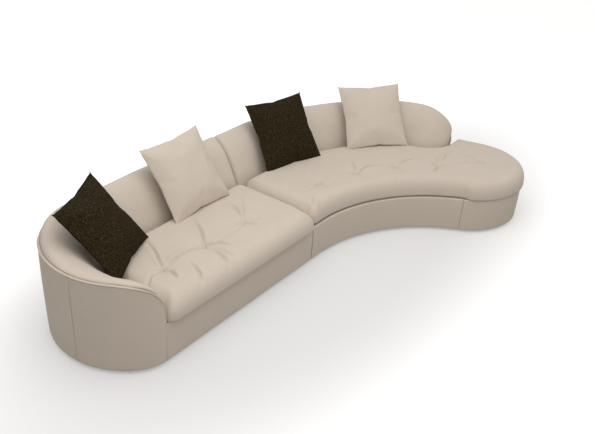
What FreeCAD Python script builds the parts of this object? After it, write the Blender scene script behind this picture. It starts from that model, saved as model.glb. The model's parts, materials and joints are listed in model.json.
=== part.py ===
import FreeCAD, Part
import math
import os

from FreeCAD import Matrix, Vector

# A two-module curved sofa with a rounded arm end, a kidney-shaped chaise end, tufted seat cushions
# and four loose pillows. Sizes are in millimetres and turns in degrees. While it is built, the
# origin is on the floor under the front edge of the base, where the two modules meet: X runs to
# the right along the straight front, Y to the back and Z up. The finished pieces are then moved
# together, so that the origin is the middle of the whole sofa's footprint.

# Plan of the left module: straight front, arm end, corner and a back that splays slightly
FRONT_LENGTH = 1306.0
ARM_FRONT_RADIUS = 242.0
ARM_SIDE_RADIUS = 482.0
ARM_SEAM_TURN = 7.5
CORNER_SIDE_RADIUS = 518.0
CORNER_BACK_RADIUS = 331.0
EIGHTH_TURN = 45.0
BACK_SPLAY = 4.0
ARM_THICKNESS = 300.0
BACK_THICKNESS = 295.0
INNER_CORNER_RADIUS = 250.0
INNER_BACK_RISE = 15.5

# Plan of the right module: concave sweep of the front, the lobe, and the sweep of the back
SWEEP_START = 100.0
SWEEP_RADIUS = 1070.0
SWEEP_TURN = 62.0
LOBE_FRONT_RADIUS = 450.0
LOBE_RADIUS = 372.0
BACK_SWEEP_RADIUS = 1700.0
BACK_SWEEP_TURN = 40.0
BACK_END_RADIUS = 950.0
BACK_END_TURN = 34.93
BACK_END_RUN = 150.0

# Heights above the floor
PANEL_BOTTOM = 20.0
FOOT_TOP = 27.0
RAIL_TOP = 240.0
BASE_TOP = 266.0
PIPING_HEIGHT = 567.0
BACK_CROWN = 622.0
ARM_CROWN = 580.0
NOSE_BOTTOM = 330.0
SEAT_CROWN = 404.0
TOP_RAIL_BOTTOM = 412.0
TOP_RAIL_HEIGHT = 28.0

# Thicknesses of the layers
PANEL = 12.0
PANEL_SKIN = 1.0
RAIL = 25.0
POST = 32.0
POST_WIDTH = 45.0
DUST_COVER = 1.5
WEBBING = 2.0
WEBBING_WIDTH = 60.0
WEBBING_PITCH = 115.0
COVER = 4.0
PILLOW_COVER = 3.0
PIPING = 8.0

# Clearances
MODULE_GAP = 5.0
SOFT_GAP = 3.0
REST_GAP = 0.3
JOINT_GAP = 0.5

# Sizes that follow from those above
RAIL_BOTTOM = FOOT_TOP + DUST_COVER
RAIL_INSET = PANEL + RAIL
END_FACE = MODULE_GAP / 2
END_PANEL = END_FACE + PANEL
END_RAIL = END_PANEL + RAIL

# Slopes and rounded ends of the back
BACK_LEAN = 0.38
BACK_LEAN_MOST = 0.32
BACK_ROLL = 0.42
BACK_ROLL_WIDTH = 340.0
BACK_POCKET_MOST = 0.42
BACK_CROWN_PLACE = 0.4
BACK_FACE_LEAST = 20.0
BACK_SHELF_LEAST = 12.0
BACK_SHELF_UNDER_FACE = 8.0
BACK_SHELF_UNDER_EDGE = 4.0
NOSE_ROLL = 6.0
NOSE_RUN = 250.0
NOSE_FLOOR = 40.0
BACK_END_FALL_RUN = 300.0
BACK_END_FALL = 215.0
BACK_END_NARROW_RUN = 0.75
BACK_END_NARROWING = 0.86

# Seat cushions
SEAT_OVERHANG = 34.0
LOBE_OVERHANG = 14.0
SEAT_DRAW_IN = 12.0
SEAT_SHOULDER = 62.0
SEAT_SHOULDER_DROP = 26.0
SEAT_END_ROUND = 70.0
SEAT_END_LEAST = 0.12
SEAT_END_DRAW = 0.8
SEAT_MIDDLE = 0.2
TUFT_LINE = 0.41
TUFT_DEPTH = 34.0
CREASE_DEPTH = 9.0
TUFT_REACH = 60.0
TUFT_FALL_OFF = 1.5
LEFT_TUFTS = (-1091.0, -752.0, -412.0)
RIGHT_TUFTS = (0.235, 0.53, 0.815, 0.2, 0.62)
ZIP_LENGTH = 320.0
ZIP_FROM_JOINT = 60.0
ZIP_FROM_REAR = 60.0
ZIP_WIDTH = 14.0
ZIP_DEPTH = 2.0

# Pillows: square, with a knife edge, drawn-in sides and a crown on both faces
PILLOW_SIZE = 500.0
PILLOW_DRAW_IN = 14.0
PILLOW_HALF_THICKNESS = 68.0
PILLOW_ZIP_LENGTH = 300.0
PILLOW_ZIP_WIDTH = 9.0

# Pillow places, leaning on the backs: run along the outer line of the back, distance inwards from
# it, height over the seat's crown, and the directions across and up as (along, inwards, upwards)
PILLOWS = {
    "left_dark_pillow": (940.83, 340.95, 198.0, (0.9428, 0.3333, 0.0), (0.2145, -0.6068, 0.7653)),
    "left_pale_pillow": (1976.85, 258.17, 199.7, (0.9996, -0.0017, 0.027), (-0.0232, -0.5648, 0.8249)),
    "right_dark_pillow": (508.8, 277.18, 190.7, (0.9931, 0.1192, 0.016), (0.0547, -0.569, 0.821)),
    "right_pale_pillow": (1454.5, 269.93, 188.9, (0.9997, -0.0192, 0.023), (-0.0302, -0.6233, 0.781)),
}

# Stations of the posts and feet, as shares of the outline they stand on
LEFT_POSTS = (0.3, 0.44, 0.58, 0.72, 0.86, 0.97)
RIGHT_POSTS = (0.03, 0.2, 0.37, 0.54, 0.71, 0.88)
LEFT_FRONT_FEET = (0.1, 0.88)
LEFT_SHELL_FEET = (0.36, 0.6, 0.95)
RIGHT_BACK_FEET = (0.05, 0.45, 0.85)
LOBE_FEET = (0.5,)
RIGHT_FRONT_FEET = (0.08, 0.94)
LEFT_CROSS_RAILS = (-1000.0, -660.0, -340.0)
RIGHT_CROSS_RAILS = (340.0, 700.0, 1100.0, 1450.0)

# Feet, screws and connectors
FOOT_BLOCK = 60.0
FOOT_BLOCK_HEIGHT = 40.0
FOOT_RADIUS = 26.0
GLIDE_RADIUS = 22.0
GLIDE = 3.0
SCREW_RADIUS = 3.0
SCREW_HEAD_RADIUS = 6.0
SCREW_HEAD = 4.0
FOOT_SCREW_LENGTH = 40.0
CONNECTOR_RADIUS = 12.0
CONNECTOR_REACH = 30.0
CONNECTOR_HEIGHT = 135.0
SOCKET_WALL = 5.0
FLANGE = 4.0
FLANGE_RADIUS = 34.0
CONNECTOR_SCREWS = 3
CONNECTOR_SCREW_LENGTH = 18.0
CONNECTOR_FROM_EDGE = 170.0
CONNECTOR_SCREW_CIRCLE = 25.0
CONNECTOR_SCREW_RADIUS = 2.5
CONNECTOR_SCREW_HEAD_RADIUS = 4.5
CROSS_RAIL = 22.0

UP = Vector(0, 0, 1)


def unit(degrees):
    """The plan direction at a heading."""
    angle = math.radians(degrees)
    return Vector(math.cos(angle), math.sin(angle), 0)


def right_of(degrees):
    """The plan direction to the right of a heading."""
    return unit(degrees - 90.0)


class Path:
    """A plan line of tangent straights and arcs, with the inside of the sofa on its right.

    A step is (length, 0) for a straight and (radius, turn) for an arc, where a turn above zero is to
    the right. Moving the whole line inwards keeps its turns and changes its radii.
    """

    def __init__(self, start, heading, steps):
        self.start = start
        self.heading = heading
        self.steps = steps

    def pieces(self, inset=0.0):
        """Each step as (first point, middle point, last point, first heading, turn, length)."""
        point = self.start + right_of(self.heading) * inset
        heading = self.heading
        found = []
        for size, turn in self.steps:
            if turn == 0:
                middle = point + unit(heading) * (size / 2)
                end = point + unit(heading) * size
                length = size
            else:
                side = math.copysign(1.0, turn)
                radius = size - inset * side
                centre = point + right_of(heading) * (radius * side)
                middle = centre - right_of(heading - turn / 2) * (radius * side)
                end = centre - right_of(heading - turn) * (radius * side)
                length = radius * math.radians(abs(turn))
            found.append((point, middle, end, heading, turn, length))
            point = end
            heading -= turn
        return found

    def part(self, first, last):
        """The steps from first up to and without last, as a path of its own."""
        piece = self.pieces()[first]
        return Path(piece[0], piece[3], self.steps[first:last])

    def end(self, inset=0.0):
        return self.pieces(inset)[-1][2]

    def length(self, inset=0.0):
        return sum(piece[5] for piece in self.pieces(inset))

    def at(self, share, inset=0.0):
        """The point and the heading at a share of the path's length."""
        pieces = self.pieces(inset)
        left = share * self.length(inset)
        while len(pieces) > 1 and left > pieces[0][5]:
            left -= pieces[0][5]
            pieces = pieces[1:]
        start, _, _, heading, turn, length = pieces[0]
        if turn == 0:
            return start + unit(heading) * left, heading
        radius = length / math.radians(abs(turn))
        swept = math.copysign(math.degrees(left / radius), turn)
        centre = start + right_of(heading) * math.copysign(radius, turn)
        return centre - right_of(heading - swept) * math.copysign(radius, turn), heading - swept

    def edges(self, inset, height, backwards=False):
        lift = UP * height
        found = []
        for start, middle, end, _, turn, _ in self.pieces(inset):
            if turn == 0:
                line = Part.LineSegment(start + lift, end + lift)
            else:
                line = Part.Arc(start + lift, middle + lift, end + lift)
            found.append(line.toShape())
        return found[::-1] if backwards else found


def arc(first, middle, last):
    return Part.Arc(first, middle, last).toShape()


def line(first, last):
    return Part.LineSegment(first, last).toShape()


def box(low, high):
    size = high - low
    return Part.makeBox(size.x, size.y, size.z, low)


def cylinder(radius, start, direction, length):
    return Part.makeCylinder(radius, length, start, direction)


def wall(path, outer, inner, bottom, top):
    """A solid wall between two insets of a path."""
    lift = UP * bottom
    end = line(path.end(outer) + lift, path.end(inner) + lift)
    start = line(path.pieces(inner)[0][0] + lift, path.pieces(outer)[0][0] + lift)
    sides = path.edges(outer, bottom) + [end] + path.edges(inner, bottom, True) + [start]
    return Part.Face(Part.Wire(sides)).extrude(UP * (top - bottom))


def slab(path, inset, end_inset, bottom, top):
    """A plate inside a module's closed outline, kept clear of the plane where the modules meet."""
    first = path.pieces(inset)[0][0] + UP * bottom
    last = path.end(inset) + UP * bottom
    wire = Part.Wire(Part.__sortEdges__(path.edges(inset, bottom) + [line(last, first)]))
    plate = Part.Face(wire).extrude(UP * (top - bottom))
    side = 1.0 if path is RIGHT else -1.0
    reach = SWEEP_RADIUS * 4
    low = end_inset if side > 0 else -reach
    high = reach if side > 0 else -end_inset
    return plate.common(box(Vector(low, -reach, bottom), Vector(high, reach, top)))


def loft(sections, ruled=True):
    return Part.makeLoft(sections, True, ruled)


def group(shapes):
    return shapes[0] if len(shapes) == 1 else Part.makeCompound(shapes)


# Outlines of the two modules, walked clockwise from the front of the module joint and from its back


def left_outline():
    """Front, arm, corner and back of the left module; the back's last arc ends square to the joint."""
    start = Path(
        Vector(0, 0, 0),
        180.0,
        [
            (FRONT_LENGTH, 0),
            (ARM_FRONT_RADIUS, EIGHTH_TURN),
            (ARM_SIDE_RADIUS, EIGHTH_TURN - ARM_SEAM_TURN),
            (ARM_SIDE_RADIUS, ARM_SEAM_TURN),
            (CORNER_SIDE_RADIUS, EIGHTH_TURN),
            (CORNER_BACK_RADIUS, EIGHTH_TURN - BACK_SPLAY),
        ],
    )
    radius = -start.end().x / math.sin(math.radians(BACK_SPLAY))
    return Path(start.start, start.heading, start.steps + [(radius, BACK_SPLAY)])


def right_outline(depth):
    """Back, lobe and front of the right module.

    The straight that ends the back is tangent to the lobe at the heading that the back has turned to,
    so the back's first straight is as long as that needs.
    """
    front = Path(Vector(0, 0, 0), 0.0, [(SWEEP_START, 0), (SWEEP_RADIUS, SWEEP_TURN)])
    lobe_front = front.end() - right_of(-SWEEP_TURN) * LOBE_FRONT_RADIUS
    lobe = lobe_front - Vector(0, LOBE_FRONT_RADIUS - LOBE_RADIUS, 0)
    arcs = [(BACK_SWEEP_RADIUS, BACK_SWEEP_TURN), (BACK_END_RADIUS, BACK_END_TURN)]
    end = Path(Vector(0, depth, 0), 0.0, arcs).end()
    turned = BACK_SWEEP_TURN + BACK_END_TURN
    ahead = unit(-turned)
    touch = lobe - right_of(-turned) * LOBE_RADIUS
    straight = (touch.y - end.y) / ahead.y
    back_start = touch.x - ahead.x * straight - end.x
    steps = [
        (back_start, 0),
        *arcs,
        (BACK_END_RUN, 0),
        (straight - BACK_END_RUN, 0),
        (LOBE_RADIUS, 180.0 - turned),
        (LOBE_FRONT_RADIUS, SWEEP_TURN),
        (SWEEP_RADIUS, -SWEEP_TURN),
        (SWEEP_START, 0),
    ]
    return Path(Vector(0, depth, 0), 0.0, steps)


LEFT = left_outline()
DEPTH = LEFT.end().y
RIGHT = right_outline(DEPTH)

ARM_PATH = LEFT.part(1, 4)
CORNER_PATH = LEFT.part(4, 6)
LEFT_BACK_PATH = LEFT.part(6, 7)
LEFT_SHELL = LEFT.part(1, 7)
RIGHT_BACK_PATH = RIGHT.part(0, 4)
LOBE_PATH = RIGHT.part(4, 7)
RIGHT_FRONT_PATH = RIGHT.part(7, 9)

# Inner foot line of the left back and arm, from the front corner to the joint
INNER_TURN = 2 * EIGHTH_TURN - BACK_SPLAY
INNER_CORNER_DEPTH = INNER_CORNER_RADIUS * math.sin(math.radians(INNER_TURN))
INNER_ARM_LENGTH = DEPTH - BACK_THICKNESS - INNER_BACK_RISE - INNER_CORNER_DEPTH
INNER_ARM = Path(Vector(ARM_PATH.end().x + ARM_THICKNESS, 0, 0), 90.0, [(INNER_ARM_LENGTH, 0)])
INNER_CORNER = Path(INNER_ARM.end(), 90.0, [(INNER_CORNER_RADIUS, INNER_TURN)])


def left_inner_end():
    return Vector(-MODULE_GAP / 2, DEPTH - BACK_THICKNESS, 0)


# Height of the shell's top edge: level, then falling in a quarter of an ellipse to the front corner


def nose_height(run):
    """The height of the arm's top edge, at a plan distance from the front end of the arm."""
    share = max(0.0, 1.0 - run / NOSE_RUN)
    return NOSE_BOTTOM + (PIPING_HEIGHT - NOSE_BOTTOM) * math.sqrt(1.0 - share**2)


def fall(run):
    """How far the right back's top has fallen, at a distance from its end."""
    share = max(0.0, 1.0 - run / BACK_END_FALL_RUN)
    return BACK_END_FALL * (1.0 - math.sqrt(1.0 - share**2))


def quarter_cut(corner, along, across, run, rise, width):
    """The space outside a quarter ellipse, which cuts a rounded end in a standing panel.

    The quarter ellipse starts at the corner, upright, and ends level, one run along and one rise up.
    """
    tall = UP * (rise + BACK_CROWN)
    lift = UP * rise
    start = corner - across * (width / 2)
    middle_turn = math.radians(EIGHTH_TURN)
    middle = start + along * (run * (1 - math.cos(middle_turn))) + lift * math.sin(middle_turn)
    outside = start - along * run
    edges = [
        arc(start, middle, start + along * run + lift),
        line(start + along * run + lift, start + along * run + tall),
        line(start + along * run + tall, outside + tall),
        line(outside + tall, outside),
        line(outside, start),
    ]
    return Part.Face(Part.Wire(edges)).extrude(across * width)


def nose_cut(drop=0.0):
    corner = Vector(-FRONT_LENGTH, 0, NOSE_BOTTOM - drop)
    rise = PIPING_HEIGHT - NOSE_BOTTOM
    return quarter_cut(corner, Vector(-1, 0, 0), Vector(0, 1, 0), NOSE_RUN, rise, NOSE_RUN * 2)


def back_end_cut(drop=0.0):
    end, heading = RIGHT_BACK_PATH.at(1.0)
    corner = end + UP * (PIPING_HEIGHT - BACK_END_FALL - drop)
    across = right_of(heading)
    return quarter_cut(
        corner, -unit(heading), across, BACK_END_FALL_RUN, BACK_END_FALL, BACK_THICKNESS * 2
    )


def back_width(run):
    """The thickness of the right back at its foot, at a distance from its end."""
    narrow = max(0.0, 1.0 - run / (BACK_THICKNESS * BACK_END_NARROW_RUN))
    return BACK_THICKNESS * math.sqrt(1.0 - narrow**2 * BACK_END_NARROWING)


# Outer panels and piping


def outer_panels():
    top = PIPING_HEIGHT
    arm = wall(LEFT.part(1, 3), 0, PANEL, PANEL_BOTTOM, top).cut(nose_cut())
    left_back = wall(LEFT.part(3, 7), 0, PANEL, PANEL_BOTTOM, top)
    left_back = left_back.common(left_side(MODULE_GAP / 2))
    right_back = wall(RIGHT_BACK_PATH, 0, PANEL, PANEL_BOTTOM, top).cut(back_end_cut())
    right_back = right_back.common(right_side(MODULE_GAP / 2))
    return arm, left_back, right_back


def left_side(gap):
    reach = SWEEP_RADIUS * 3
    return box(Vector(-reach, -reach, 0), Vector(-gap, reach, reach))


def right_side(gap):
    reach = SWEEP_RADIUS * 3
    return box(Vector(gap, -reach, 0), Vector(reach, reach, reach))


def piping_strip(path, cut, lower_cut):
    """A narrow strip on the outside of a panel, under its top edge."""
    strip = wall(path, -PIPING / 2, -REST_GAP, NOSE_BOTTOM - PIPING, PIPING_HEIGHT)
    level = wall(path, -PIPING, PIPING, 0, PIPING_HEIGHT - PIPING)
    if cut is None:
        return strip.cut(level)
    return strip.cut(cut).cut(level.cut(lower_cut))


def piping():
    left = piping_strip(LEFT_SHELL, nose_cut(), nose_cut(PIPING)).common(left_side(MODULE_GAP / 2))
    right = piping_strip(RIGHT_BACK_PATH, back_end_cut(), back_end_cut(PIPING))
    return left, right.common(right_side(MODULE_GAP / 2))


# Back pads


def pad_section(outer, heading, inner, crown, edge, foot):
    """One section of a back pad, in the upright plane from an outer point to an inner point.

    From the foot line it leans back in a straight, rolls over the crown in one arc and comes down
    behind the outer panel; behind and below it is stepped to leave room for the back frame.
    """
    along = (inner - outer).normalize()
    width = (inner - outer).Length
    slant = along.dot(right_of(heading))
    pocket = min((PANEL + POST + SOFT_GAP) / slant, width * BACK_POCKET_MOST)
    skin = (PANEL + PANEL_SKIN) / slant
    face_top = max(foot + BACK_FACE_LEAST, crown - BACK_ROLL * min(width, BACK_ROLL_WIDTH))
    face = width - min(BACK_LEAN * (face_top - foot), width * BACK_LEAN_MOST)
    over_rail = TOP_RAIL_BOTTOM + TOP_RAIL_HEIGHT + SOFT_GAP
    shelf = max(foot + BACK_SHELF_LEAST, min(over_rail, face_top - BACK_SHELF_UNDER_FACE))
    shelf = min(shelf, edge - BACK_SHELF_UNDER_EDGE)
    crown_place = skin + (face - skin) * BACK_CROWN_PLACE

    def point(distance, height):
        return outer + along * distance + UP * height

    return Part.Wire(
        [
            line(point(pocket, foot), point(width, foot)),
            line(point(width, foot), point(face, face_top)),
            arc(point(face, face_top), point(crown_place, crown), point(skin, edge)),
            line(point(skin, edge), point(skin, shelf)),
            line(point(skin, shelf), point(pocket, shelf)),
            line(point(pocket, shelf), point(pocket, foot)),
        ]
    )


def left_pad_sections():
    foot = BASE_TOP + REST_GAP
    sections = []
    for share in (0.09, 0.18, 0.3, 0.4, 0.5, 0.6, 0.7, 0.8, 0.9):
        outer, heading = ARM_PATH.at(share)
        inner, _ = INNER_ARM.at(share)
        inner = inner + Vector(0, NOSE_FLOOR * (1 - share), 0)
        edge = nose_height(-FRONT_LENGTH - outer.x)
        roll = NOSE_ROLL + (ARM_CROWN - PIPING_HEIGHT - NOSE_ROLL) * share
        sections.append(pad_section(outer, heading, inner, edge + roll, edge, foot))
    steps = 9
    for step in range(steps + 1):
        share = step / steps
        crown = ARM_CROWN + (BACK_CROWN - ARM_CROWN) * math.sin(math.radians(90.0 * share))
        outer, heading = CORNER_PATH.at(share)
        inner, _ = INNER_CORNER.at(share)
        sections.append(pad_section(outer, heading, inner, crown, PIPING_HEIGHT, foot))
    for share in (0.2, 0.4, 0.6, 0.8, 1.0):
        outer, heading = LEFT_BACK_PATH.at(share)
        inner = INNER_CORNER.end() + (left_inner_end() - INNER_CORNER.end()) * share
        outer = Vector(min(outer.x, -MODULE_GAP / 2), outer.y, 0)
        sections.append(pad_section(outer, heading, inner, BACK_CROWN, PIPING_HEIGHT, foot))
    return sections


def right_pad_sections():
    """Sections along the right back, which narrows and falls to its rounded end."""
    foot = BASE_TOP + REST_GAP
    length = RIGHT_BACK_PATH.length()
    sections = []
    shares = [0.08 * step for step in range(10)]
    shares += [0.78, 0.84, 0.88, 0.91, 0.94, 0.96, 0.98, 0.992]
    for share in shares:
        outer, heading = RIGHT_BACK_PATH.at(share)
        run = (1.0 - share) * length
        drop = fall(run)
        inner = outer + right_of(heading) * back_width(run)
        if share == 0.0:
            outer = outer + Vector(MODULE_GAP / 2, 0, 0)
            inner = inner + Vector(MODULE_GAP / 2, 0, 0)
        crown = BACK_CROWN - drop
        edge = PIPING_HEIGHT - drop
        sections.append(pad_section(outer, heading, inner, crown, edge, foot))
    return sections


# Seat cushions


def cushion_section(front, rear, bottom, top, dip, inset):
    """One upright section of a seat cushion, from a front point to a rear point.

    A flat bottom, a bulging front and rear that draw in below, and two crowned arcs that meet in the
    sewn line, as deep as the dip.
    """
    along = (rear - front).normalize()
    width = (rear - front).Length
    bottom = bottom + inset
    top = top - inset
    height = top - bottom
    draw_in = min(SEAT_DRAW_IN, height / 5, width / 8) + inset
    shoulder = min(SEAT_SHOULDER, height / 2, width / 5) + inset
    shoulder_height = top - SEAT_SHOULDER_DROP * min(1.0, height / (SEAT_CROWN - BASE_TOP))
    middle = bottom + SEAT_MIDDLE * height
    sewn = width * TUFT_LINE
    sewn_height = top - dip * min(1.0, height / (SEAT_CROWN - BASE_TOP))

    def point(distance, level):
        return front + along * distance + UP * level

    front_shoulder = point(shoulder, shoulder_height)
    rear_shoulder = point(width - shoulder, shoulder_height)
    return Part.Wire(
        [
            line(point(draw_in, bottom), point(width - draw_in, bottom)),
            arc(point(width - draw_in, bottom), point(width - inset, middle), rear_shoulder),
            arc(rear_shoulder, point((width - shoulder + sewn) / 2, top), point(sewn, sewn_height)),
            arc(point(sewn, sewn_height), point((shoulder + sewn) / 2, top), front_shoulder),
            arc(front_shoulder, point(inset, middle), point(draw_in, bottom)),
        ]
    )


def rounded(run, radius):
    """The share of full height or width left at a distance from a rounded end."""
    short = max(0.0, 1.0 - run / radius)
    return math.sqrt(max(0.0, 1.0 - short**2))


def tuft_dip(distance):
    """How deep the sewn line lies at a distance from the nearest tuft."""
    near = max(0.0, 1.0 - distance / (TUFT_REACH * 2))
    return CREASE_DEPTH + (TUFT_DEPTH - CREASE_DEPTH) * near**TUFT_FALL_OFF


def end_heights(run):
    """Bottom and top of a cushion at a distance from its rounded end."""
    bottom = BASE_TOP + REST_GAP
    middle = bottom + SEAT_MIDDLE * (SEAT_CROWN - bottom)
    share = SEAT_END_LEAST + (1.0 - SEAT_END_LEAST) * rounded(run, SEAT_END_ROUND)
    low_share = SEAT_END_LEAST + (1.0 - SEAT_END_LEAST) * rounded(run, SEAT_END_ROUND / 3)
    return middle - (middle - bottom) * low_share, middle + (SEAT_CROWN - middle) * share


def left_cushion_ends():
    foot = max(INNER_ARM.start.x, -FRONT_LENGTH) + SOFT_GAP
    return foot, -MODULE_GAP / 2


def left_seat(inset):
    """The left cushion: sections square to the straight front, between the arm and the joint."""
    low, high = left_cushion_ends()
    low += inset
    high -= inset
    rear_left = INNER_CORNER.end()
    corner = INNER_CORNER_RADIUS
    small = SEAT_END_ROUND
    ends = (0.0, 8.0, 26.0, SEAT_END_ROUND)
    stops = [low + run for run in ends] + [high - run for run in reversed(ends)]
    for place, tuft in enumerate(LEFT_TUFTS):
        stops += [tuft - TUFT_REACH, tuft, tuft + TUFT_REACH]
        if place:
            stops.append((tuft + LEFT_TUFTS[place - 1]) / 2)
    stops.append((LEFT_TUFTS[-1] + high) / 2)
    sections = []
    for x in sorted(stops):
        from_left = x - low
        from_right = high - x
        run = min(from_left, from_right)
        share = min(1.0, max(0.0, (x - rear_left.x) / -rear_left.x))
        rear = rear_left.y + (left_inner_end().y - rear_left.y) * share - SOFT_GAP
        rear -= corner * (1.0 - rounded(from_left, corner))
        rear -= small * SEAT_END_DRAW * (1.0 - rounded(from_right, small))
        front = -SEAT_OVERHANG + small * (1.0 - rounded(run, small))
        bottom, top = end_heights(run)
        dip = tuft_dip(min(abs(x - tuft) for tuft in LEFT_TUFTS))
        sections.append(
            cushion_section(Vector(x, front, 0), Vector(x, rear, 0), bottom, top, dip, inset)
        )
    return loft(sections)


def right_seat_lines():
    """Front and rear lines of the right cushion, each as a sitting part and a lobe part."""
    front = Path(RIGHT.end(), 0.0, [(SWEEP_START, 0), (SWEEP_RADIUS, SWEEP_TURN)])
    tip_turn = 0.5 * (180.0 + RIGHT.pieces()[5][3])
    front_lobe = Path(
        front.end(),
        -SWEEP_TURN,
        [(LOBE_FRONT_RADIUS, -SWEEP_TURN), (LOBE_RADIUS, -tip_turn)],
    )
    lobe_piece = RIGHT.pieces()[4]
    rear_lobe = Path(lobe_piece[0], lobe_piece[3], [RIGHT.steps[4], (LOBE_RADIUS, tip_turn)])
    return front, front_lobe, rear_lobe


def right_seat(inset):
    """The right cushion: sections fan along the curve and close round the lobe."""
    front_line, front_lobe, rear_lobe = right_seat_lines()
    out = LOBE_OVERHANG
    start = MODULE_GAP / 2
    sections = []
    sitting = front_line.length()
    shares = [0.0, 0.006, 0.02, 0.055]
    for place, tuft in enumerate(RIGHT_TUFTS[:3]):
        reach = TUFT_REACH / sitting
        shares += [tuft - reach, tuft, tuft + reach]
        if place:
            shares.append((tuft + RIGHT_TUFTS[place - 1]) / 2)
    shares += [0.9, 0.93, 0.955, 0.975, 0.99, 1.0]
    for share in sorted(shares):
        run = share * sitting
        moved = max(share, inset / sitting)
        front, heading = front_line.at(moved, -out * min(1.0, run / SWEEP_START))
        behind = back_width((1.0 - moved) * RIGHT_BACK_PATH.length()) + SOFT_GAP
        rear, _ = RIGHT_BACK_PATH.at(moved, behind)
        if share < 0.1:
            front = Vector(start + run + inset, front.y, 0)
            rear = Vector(start + run + inset, rear.y, 0)
        small = SEAT_END_ROUND
        squeeze = small * (1.0 - rounded(run, small))
        along = (rear - front).normalize()
        bottom, top = end_heights(run)
        nearest = min(abs(share - tuft) for tuft in RIGHT_TUFTS[:3]) * sitting
        sections.append(
            cushion_section(
                front + along * squeeze,
                rear - along * squeeze * SEAT_END_DRAW,
                bottom,
                top,
                tuft_dip(nearest),
                inset,
            )
        )
    around = front_lobe.length()
    for share in (0.06, 0.13, 0.2, 0.27, 0.41, 0.55, 0.62, 0.69, 0.76, 0.82, 0.87, 0.91, 0.945, 0.975):
        front, _ = front_lobe.at(share, out)
        rear, _ = rear_lobe.at(share, -out)
        run = LOBE_RADIUS * (1.0 - math.cos(min(1.5, (1.0 - share) * around / LOBE_RADIUS)))
        bottom, top = end_heights(run)
        nearest = min(abs(share - tuft) for tuft in RIGHT_TUFTS[3:]) * around
        dip = tuft_dip(nearest) * rounded(run, LOBE_RADIUS * 0.5) ** 2
        sections.append(cushion_section(front, rear, bottom, top, dip, inset))
    return loft(sections)


# Pillows


def pillow_outline(half, bulge, height):
    """Four arcs between the corners of a square; a bulge below zero draws the sides in."""
    corners = [Vector(x * half, y * half, height) for x, y in ((-1, -1), (1, -1), (1, 1), (-1, 1))]
    edges = []
    for place, first in enumerate(corners):
        last = corners[(place + 1) % 4]
        out = (first + last) * 0.5 - Vector(0, 0, height)
        middle = (first + last) * 0.5 + out.normalize() * bulge
        edges.append(arc(first, middle, last))
    return Part.Wire(edges)


def pillow_body(inset):
    """Two crowned halves that meet in a knife edge, each lofted through shrinking outlines."""
    half = PILLOW_SIZE / 2 - inset * 3
    thick = PILLOW_HALF_THICKNESS - inset
    levels = (
        (1.0, 0.0, -PILLOW_DRAW_IN),
        (0.955, 0.2, -PILLOW_DRAW_IN * 0.9),
        (0.86, 0.45, -PILLOW_DRAW_IN * 0.3),
        (0.7, 0.7, PILLOW_DRAW_IN * 0.9),
        (0.48, 0.88, PILLOW_DRAW_IN * 1.7),
        (0.2, 0.985, PILLOW_DRAW_IN * 1.6),
        (0.04, 1.0, PILLOW_DRAW_IN * 0.4),
    )
    outlines = [pillow_outline(half * share, out, thick * rise) for share, rise, out in levels]
    upper = loft(outlines, False)
    mirror = Matrix()
    mirror.scale(1, 1, -1)
    return upper.fuse(upper.transformGeometry(mirror)).removeSplitter()


def pillow_place(path, run, inset, rise, across, up):
    """The middle of a pillow and its directions across and up, from its place beside a back."""
    outer, heading = path.at(run / path.length())
    ways = (unit(heading), right_of(heading), UP)
    middle = outer + right_of(heading) * inset + UP * (SEAT_CROWN + rise)
    turned = []
    for direction in (across, up):
        turned.append(sum((way * size for way, size in zip(ways, direction)), Vector()))
    return middle, *turned


def pillow(centre, across, up):
    """Cover, insert and zip of one pillow, placed by its middle and two of its directions."""
    cover = pillow_body(0.0).cut(pillow_body(PILLOW_COVER))
    insert = pillow_body(PILLOW_COVER + REST_GAP)
    low = -PILLOW_SIZE / 2 + PILLOW_DRAW_IN + 2.0
    half_zip = PILLOW_ZIP_LENGTH / 2
    depth = ZIP_DEPTH / 2
    zip_strip = box(Vector(-half_zip, low, -depth), Vector(half_zip, low + PILLOW_ZIP_WIDTH, depth))
    gap = Vector(REST_GAP, REST_GAP, REST_GAP)
    slot = box(
        Vector(-half_zip, low, -depth) - gap, Vector(half_zip, low + PILLOW_ZIP_WIDTH, depth) + gap
    )
    cover = cover.cut(slot)
    insert = insert.cut(slot)
    across = across.normalize()
    up = (up - across * up.dot(across)).normalize()
    normal = across.cross(up)
    place = FreeCAD.Placement(
        Matrix(
            across.x, up.x, normal.x, centre.x,
            across.y, up.y, normal.y, centre.y,
            across.z, up.z, normal.z, centre.z,
            0, 0, 0, 1,
        )
    )
    pieces = []
    for shape in (cover, insert, zip_strip):
        shape = shape.copy()
        shape.Placement = place
        pieces.append(shape)
    return pieces


# Base panels, frame and deck of each module


def sided(shape, side, gap):
    """The part of a shape on one side of the joint: -1 is the left module and 1 the right one."""
    return shape.common(left_side(gap) if side < 0 else right_side(gap))


def joint_box(side, near, far, low_y, high_y, bottom, top):
    """A box standing off the joint plane, between two distances from it."""
    if side < 0:
        near, far = -far, -near
    return box(Vector(near, low_y, bottom), Vector(far, high_y, top))


def station_box(path, share, near, far, width, bottom, top):
    """A box across an outline: between two insets, as wide as given, tangent to the line."""
    point, heading = path.at(share)
    corner = point + right_of(heading) * near - unit(heading) * (width / 2) + UP * bottom
    edge = unit(heading) * width
    depth = right_of(heading) * (far - near)
    wire = Part.makePolygon([corner, corner + edge, corner + edge + depth, corner + depth, corner])
    return Part.Face(wire).extrude(UP * (top - bottom))


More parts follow.
